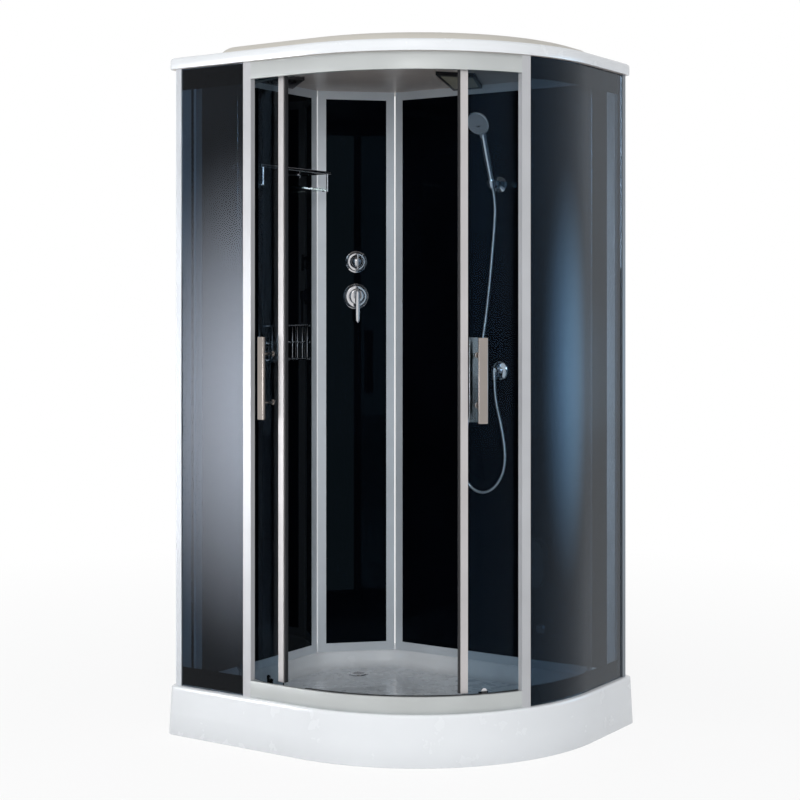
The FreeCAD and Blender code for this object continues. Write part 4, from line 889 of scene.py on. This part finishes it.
def make_elbow():
    """Wall outlet with its flange, the knuckle and the nut of the hose."""
    x, z = 0.130, 1.112
    flange = [(0.0001, 0.0), (0.0300, 0.0), (0.0310, 0.0010), (0.0305, 0.0026), (0.0275, 0.0048),
              (0.0215, 0.0070), (0.0170, 0.0088), (0.0130, 0.0092), (0.0001, 0.0092)]
    arm = [(0.0105, 0.006), (0.0105, 0.030), (0.0115, 0.0345), (0.0100, 0.0430), (0.0001, 0.0465)]
    spout = [(0.0115, -0.004), (0.0115, 0.010), (0.0095, 0.014), (0.0095, 0.0165),
             (0.0100, 0.0185), (0.0100, 0.0290), (0.0092, 0.0300), (0.0001, 0.0300)]
    place = on_wall("back", x, BACK_WALL, z)
    down = at(x, BACK_WALL - 0.035, z) @ Matrix.Rotation(math.pi, 4, "X")
    make_piece("Shower_elbow", [lathe("flange", flange, place, 56), lathe("arm", arm, place, 40),
                                lathe("spout", spout, down, 32)], "cabin", "chrome", 45)


def make_shelf_rail():
    """Gallery rail over the shelf, with its wall arms and its two posts."""
    low, high = -0.268, 0.098
    bar_x = LEFT_WALL + 0.118
    foot_z, top = 1.701, 1.763
    rosette = [(0.0001, 0), (0.0118, 0), (0.0120, 0.0010), (0.0112, 0.0036), (0.0060, 0.0050),
               (0.0001, 0.0050)]
    foot = [(0.0001, 0), (0.0095, 0), (0.0100, 0.0006), (0.0100, 0.0034), (0.0095, 0.0040),
            (0.0001, 0.0040)]
    cap = [(0.005, -0.001), (0.005, -0.0004), (0.0042, 0.0), (0.0001, 0.0)]
    parts = [tube("bar", [(bar_x, low, top), (bar_x, high, top)], 0.005, 20)]
    for y in (low + 0.014, high - 0.014):
        parts.append(tube("arm", [(LEFT_WALL, y, top), (bar_x, y, top)], 0.005, 20))
        parts.append(lathe("disc", rosette, on_wall("left", LEFT_WALL, y, top), 32))
        parts.append(tube("post", [(bar_x, y, foot_z), (bar_x, y, top)], 0.004, 16))
        parts.append(lathe("foot", foot, at(bar_x - 0.009, y, foot_z), 28))
    for y, turn in ((low, math.pi / 2), (high, -math.pi / 2)):
        end = at(bar_x, y, top) @ Matrix.Rotation(turn, 4, "X")
        parts.append(lathe("end", cap, end, 20))
    make_piece("Shelf_rail", parts, "cabin", "chrome", 50)


def make_basket():
    """Wire basket: three rings, cross wires, long wires and two wall bosses."""
    front, back = -0.218, 0.018
    near, far = LEFT_WALL + 0.006, LEFT_WALL + 0.104
    base, height, wire, corner = 1.152, 0.108, 0.0026, 0.018
    middle, top = base + height / 2, base + height
    thin = wire * 0.8
    boss = [(0.0001, 0), (0.0076, 0), (0.0078, 0.0008), (0.0070, 0.0050), (0.0001, 0.0058)]
    parts = []
    for z in (base, middle, top):
        ring = []
        for cx, cy, first in ((far - corner, back - corner, 0), (near + corner, back - corner, 90),
                              (near + corner, front + corner, 180),
                              (far - corner, front + corner, 270)):
            for n in range(7):
                a = math.radians(first + 15 * n)
                ring.append(Vector((cx + corner * math.cos(a), cy + corner * math.sin(a), z)))
        parts.append(tube("ring", [*ring, ring[0]], wire, 12))
    for n in range(1, 9):
        y = front + (back - front) * n / 9
        parts.append(tube("bar", [(near, y, middle), (near, y, base + 0.006),
                                  (near + 0.006, y, base), (far - 0.006, y, base),
                                  (far, y, base + 0.006), (far, y, top)], thin, 10))
    for x in (near + 0.03, far - 0.03):
        parts.append(tube("bar", [(x, front, top), (x, front, base), (x, back, base),
                                  (x, back, top)], thin, 10))
    for y in (front + 0.04, back - 0.04):
        parts.append(lathe("boss", boss, on_wall("left", LEFT_WALL, y, top), 24))
    make_piece("Wire_basket", parts, "cabin", "wire")


make_generator()
make_elbow()
make_shelf_rail()
make_basket()


# ---------------------------------------------------------------- finishes of the CAD nodes

DRESSES = {
    # the wall frames inside the cabin take the satin metal painted lighter, as painted light
    "frame": (("left_wall_frame", 0.0012), ("back_wall_frame", 0.0012),
              ("column_frame", 0.0012)),
    "post": (("left_corner_post", 0.001),),
    # the right corner post gets the darkened copy of the post's metal, as painted shade
    "painted_shade_post": (("right_corner_post", 0.001),),
    "profile": (("left_jamb", 0.001), ("right_jamb", 0.001)),
    "black_glass": (("left_wall_glass", 0), ("back_wall_glass", 0), ("column_glass", 0)),
    # the ceiling panel takes its white sheet with painted shade
    "ceiling": (("ceiling_panel", 0),),
    "black": (("ceiling_lamp_housing", 0.001), ("fan_housing", 0.0006), ("steam_outlet", 0.003)),
    "lens": (("ceiling_lamp_lens", 0.0008),),
    "grey": (("fan_impeller", 0.0004), ("waste_trap", 0.001)),
    "steel": (("tray_support_beams", 0.0012), ("levelling_feet", 0.001)),
    "brass": (("mixer_valve", 0.0015),),
    "chrome": (("drain_grate", 0.0005), ("foot_jet", 0.0005), ("holder_bracket", 0.0012),
               ("holder_clip", 0.0008)),
    "shelf": (("shelf_glass", 0.0008),),
}
for look, entries in DRESSES.items():
    for node_name, width in entries:
        dress(nodes[node_name], look, width)


# ---------------------------------------------------------------- floor, backdrop and light

def fade(tree, scale):
    """1 at the object's middle, falling to 0 at one unit of the scaled coordinates."""
    gradient = add_node(tree, "TexGradient", {"Vector": coordinates(tree, scale)})
    gradient.gradient_type = "SPHERICAL"
    return gradient.outputs["Fac"]


def combine(tree, operation, first, second):
    node = add_node(tree, "Math", {0: first, 1: second})
    node.operation = operation
    return node.outputs[0]


def make_floor():
    """Pale floor that keeps a soft shadow and fades into the white backdrop."""
    bpy.ops.mesh.primitive_plane_add(size=24, location=(0, 0, -0.0005))
    floor = bpy.context.object
    floor.name = "Studio_floor"
    material, tree = empty_material("Studio_floor")
    shader = add_node(tree, "BsdfPrincipled", {"Base Color": (0.86, 0.86, 0.86, 1),
                                               "Roughness": 0.7})
    white = add_node(tree, "Emission", {"Strength": 1.0})
    share = add_node(tree, "MapRange", {"From Max": 0.7, "To Min": 1.0, "To Max": 0.88,
                                        "Value": fade(tree, (0.25, 0.25, 1))})
    seen = add_node(tree, "LightPath", {}).outputs["Is Camera Ray"]
    mix = add_node(tree, "MixShader", {
        "Fac": combine(tree, "MULTIPLY", seen, share.outputs["Result"]),
        1: shader.outputs[0], 2: white.outputs[0]})
    add_node(tree, "OutputMaterial", {"Surface": mix.outputs[0]})
    floor.data.materials.append(material)
    floor.visible_glossy = False


def make_world(level):
    """White to the camera, in reflections and through glass; softer light on everything."""
    world = bpy.data.worlds.new("Studio")
    bpy.context.scene.world = world
    world.use_nodes = True
    tree = world.node_tree
    tree.nodes.clear()
    white = add_node(tree, "Background", {"Color": (1, 1, 1, 1)})
    plain = add_node(tree, "Background", {"Color": (0.95, 0.97, 1.0, 1), "Strength": level})
    paths = add_node(tree, "LightPath", {})
    seen = paths.outputs["Is Camera Ray"]
    for ray in ("Is Glossy Ray", "Is Transmission Ray"):
        seen = combine(tree, "MAXIMUM", seen, paths.outputs[ray])
    mix = add_node(tree, "MixShader", {"Fac": seen, 1: plain.outputs[0], 2: white.outputs[0]})
    add_node(tree, "OutputWorld", {"Surface": mix.outputs[0]})


def aim(thing, place, target):
    """Put a lamp or a panel at a place, turned towards a target, and link it."""
    thing.location = place
    thing.rotation_euler = (Vector(target) - Vector(place)).to_track_quat("-Z", "Y").to_euler()
    bpy.context.collection.objects.link(thing)
    thing.visible_camera = False


def make_panel(name, place, target, size, colour, strength):
    """A soft light panel that fades towards its edges and that only reflections show."""
    width, height = size
    x, y = width / 2, height / 2
    mesh = mesh_from(name, [(-x, -y, 0), (x, -y, 0), (x, y, 0), (-x, y, 0)], [(0, 1, 2, 3)])
    panel = bpy.data.objects.new(name, mesh)
    aim(panel, place, target)
    panel.visible_diffuse = False
    panel.visible_transmission = False
    panel.visible_shadow = False
    material, tree = empty_material(name)
    curve = add_node(tree, "MapRange", {
        "To Max": strength, "Value": fade(tree, (2 / width, 2 / height, 1))})
    curve.interpolation_type = "SMOOTHSTEP"
    light = add_node(tree, "Emission", {
        "Color": (*colour, 1), "Strength": curve.outputs["Result"]})
    clear = add_node(tree, "BsdfTransparent", {})
    both = add_node(tree, "AddShader", {0: light.outputs[0], 1: clear.outputs[0]})
    add_node(tree, "OutputMaterial", {"Surface": both.outputs[0]})
    panel.data.materials.append(material)


def make_lamp(name, place, target, size, power):
    """A soft lamp that neither the camera nor reflections show."""
    data = bpy.data.lights.new(name, "AREA")
    data.shape = "RECTANGLE"
    data.size, data.size_y = size
    data.energy = power
    lamp = bpy.data.objects.new(name, data)
    aim(lamp, place, target)
    lamp.visible_glossy = False


make_floor()
make_world(0.50)
make_panel("Glow_left", (-2.42, -3.13, 0.85), (-0.26, -0.44, 1.04), (1.3, 2.8),
           (0.95, 0.96, 1.0), 30.0)
make_panel("Glow_right", (2.77, 2.07, 1.0), (0.54, 0.06, 1.1), (2.8, 2.2),
           (0.36, 0.68, 1.0), 6.0)
make_panel("Glow_front", (2.9, -4.7, 3.7), (0.0, 0.2, 1.5), (3.0, 1.4),
           (1.0, 0.99, 0.97), 3.0)
make_lamp("Key", (-1.6, -4.2, 3.0), (0.0, 0.0, 1.0), (1.4, 2.2), 40)
make_lamp("Front", (2.0, -3.4, 2.1), (-0.15, 0.1, 0.3), (1.2, 1.2), 60)
make_lamp("Fill", (4.2, -1.0, 2.2), (0.0, 0.0, 1.0), (1.6, 2.4), 9)
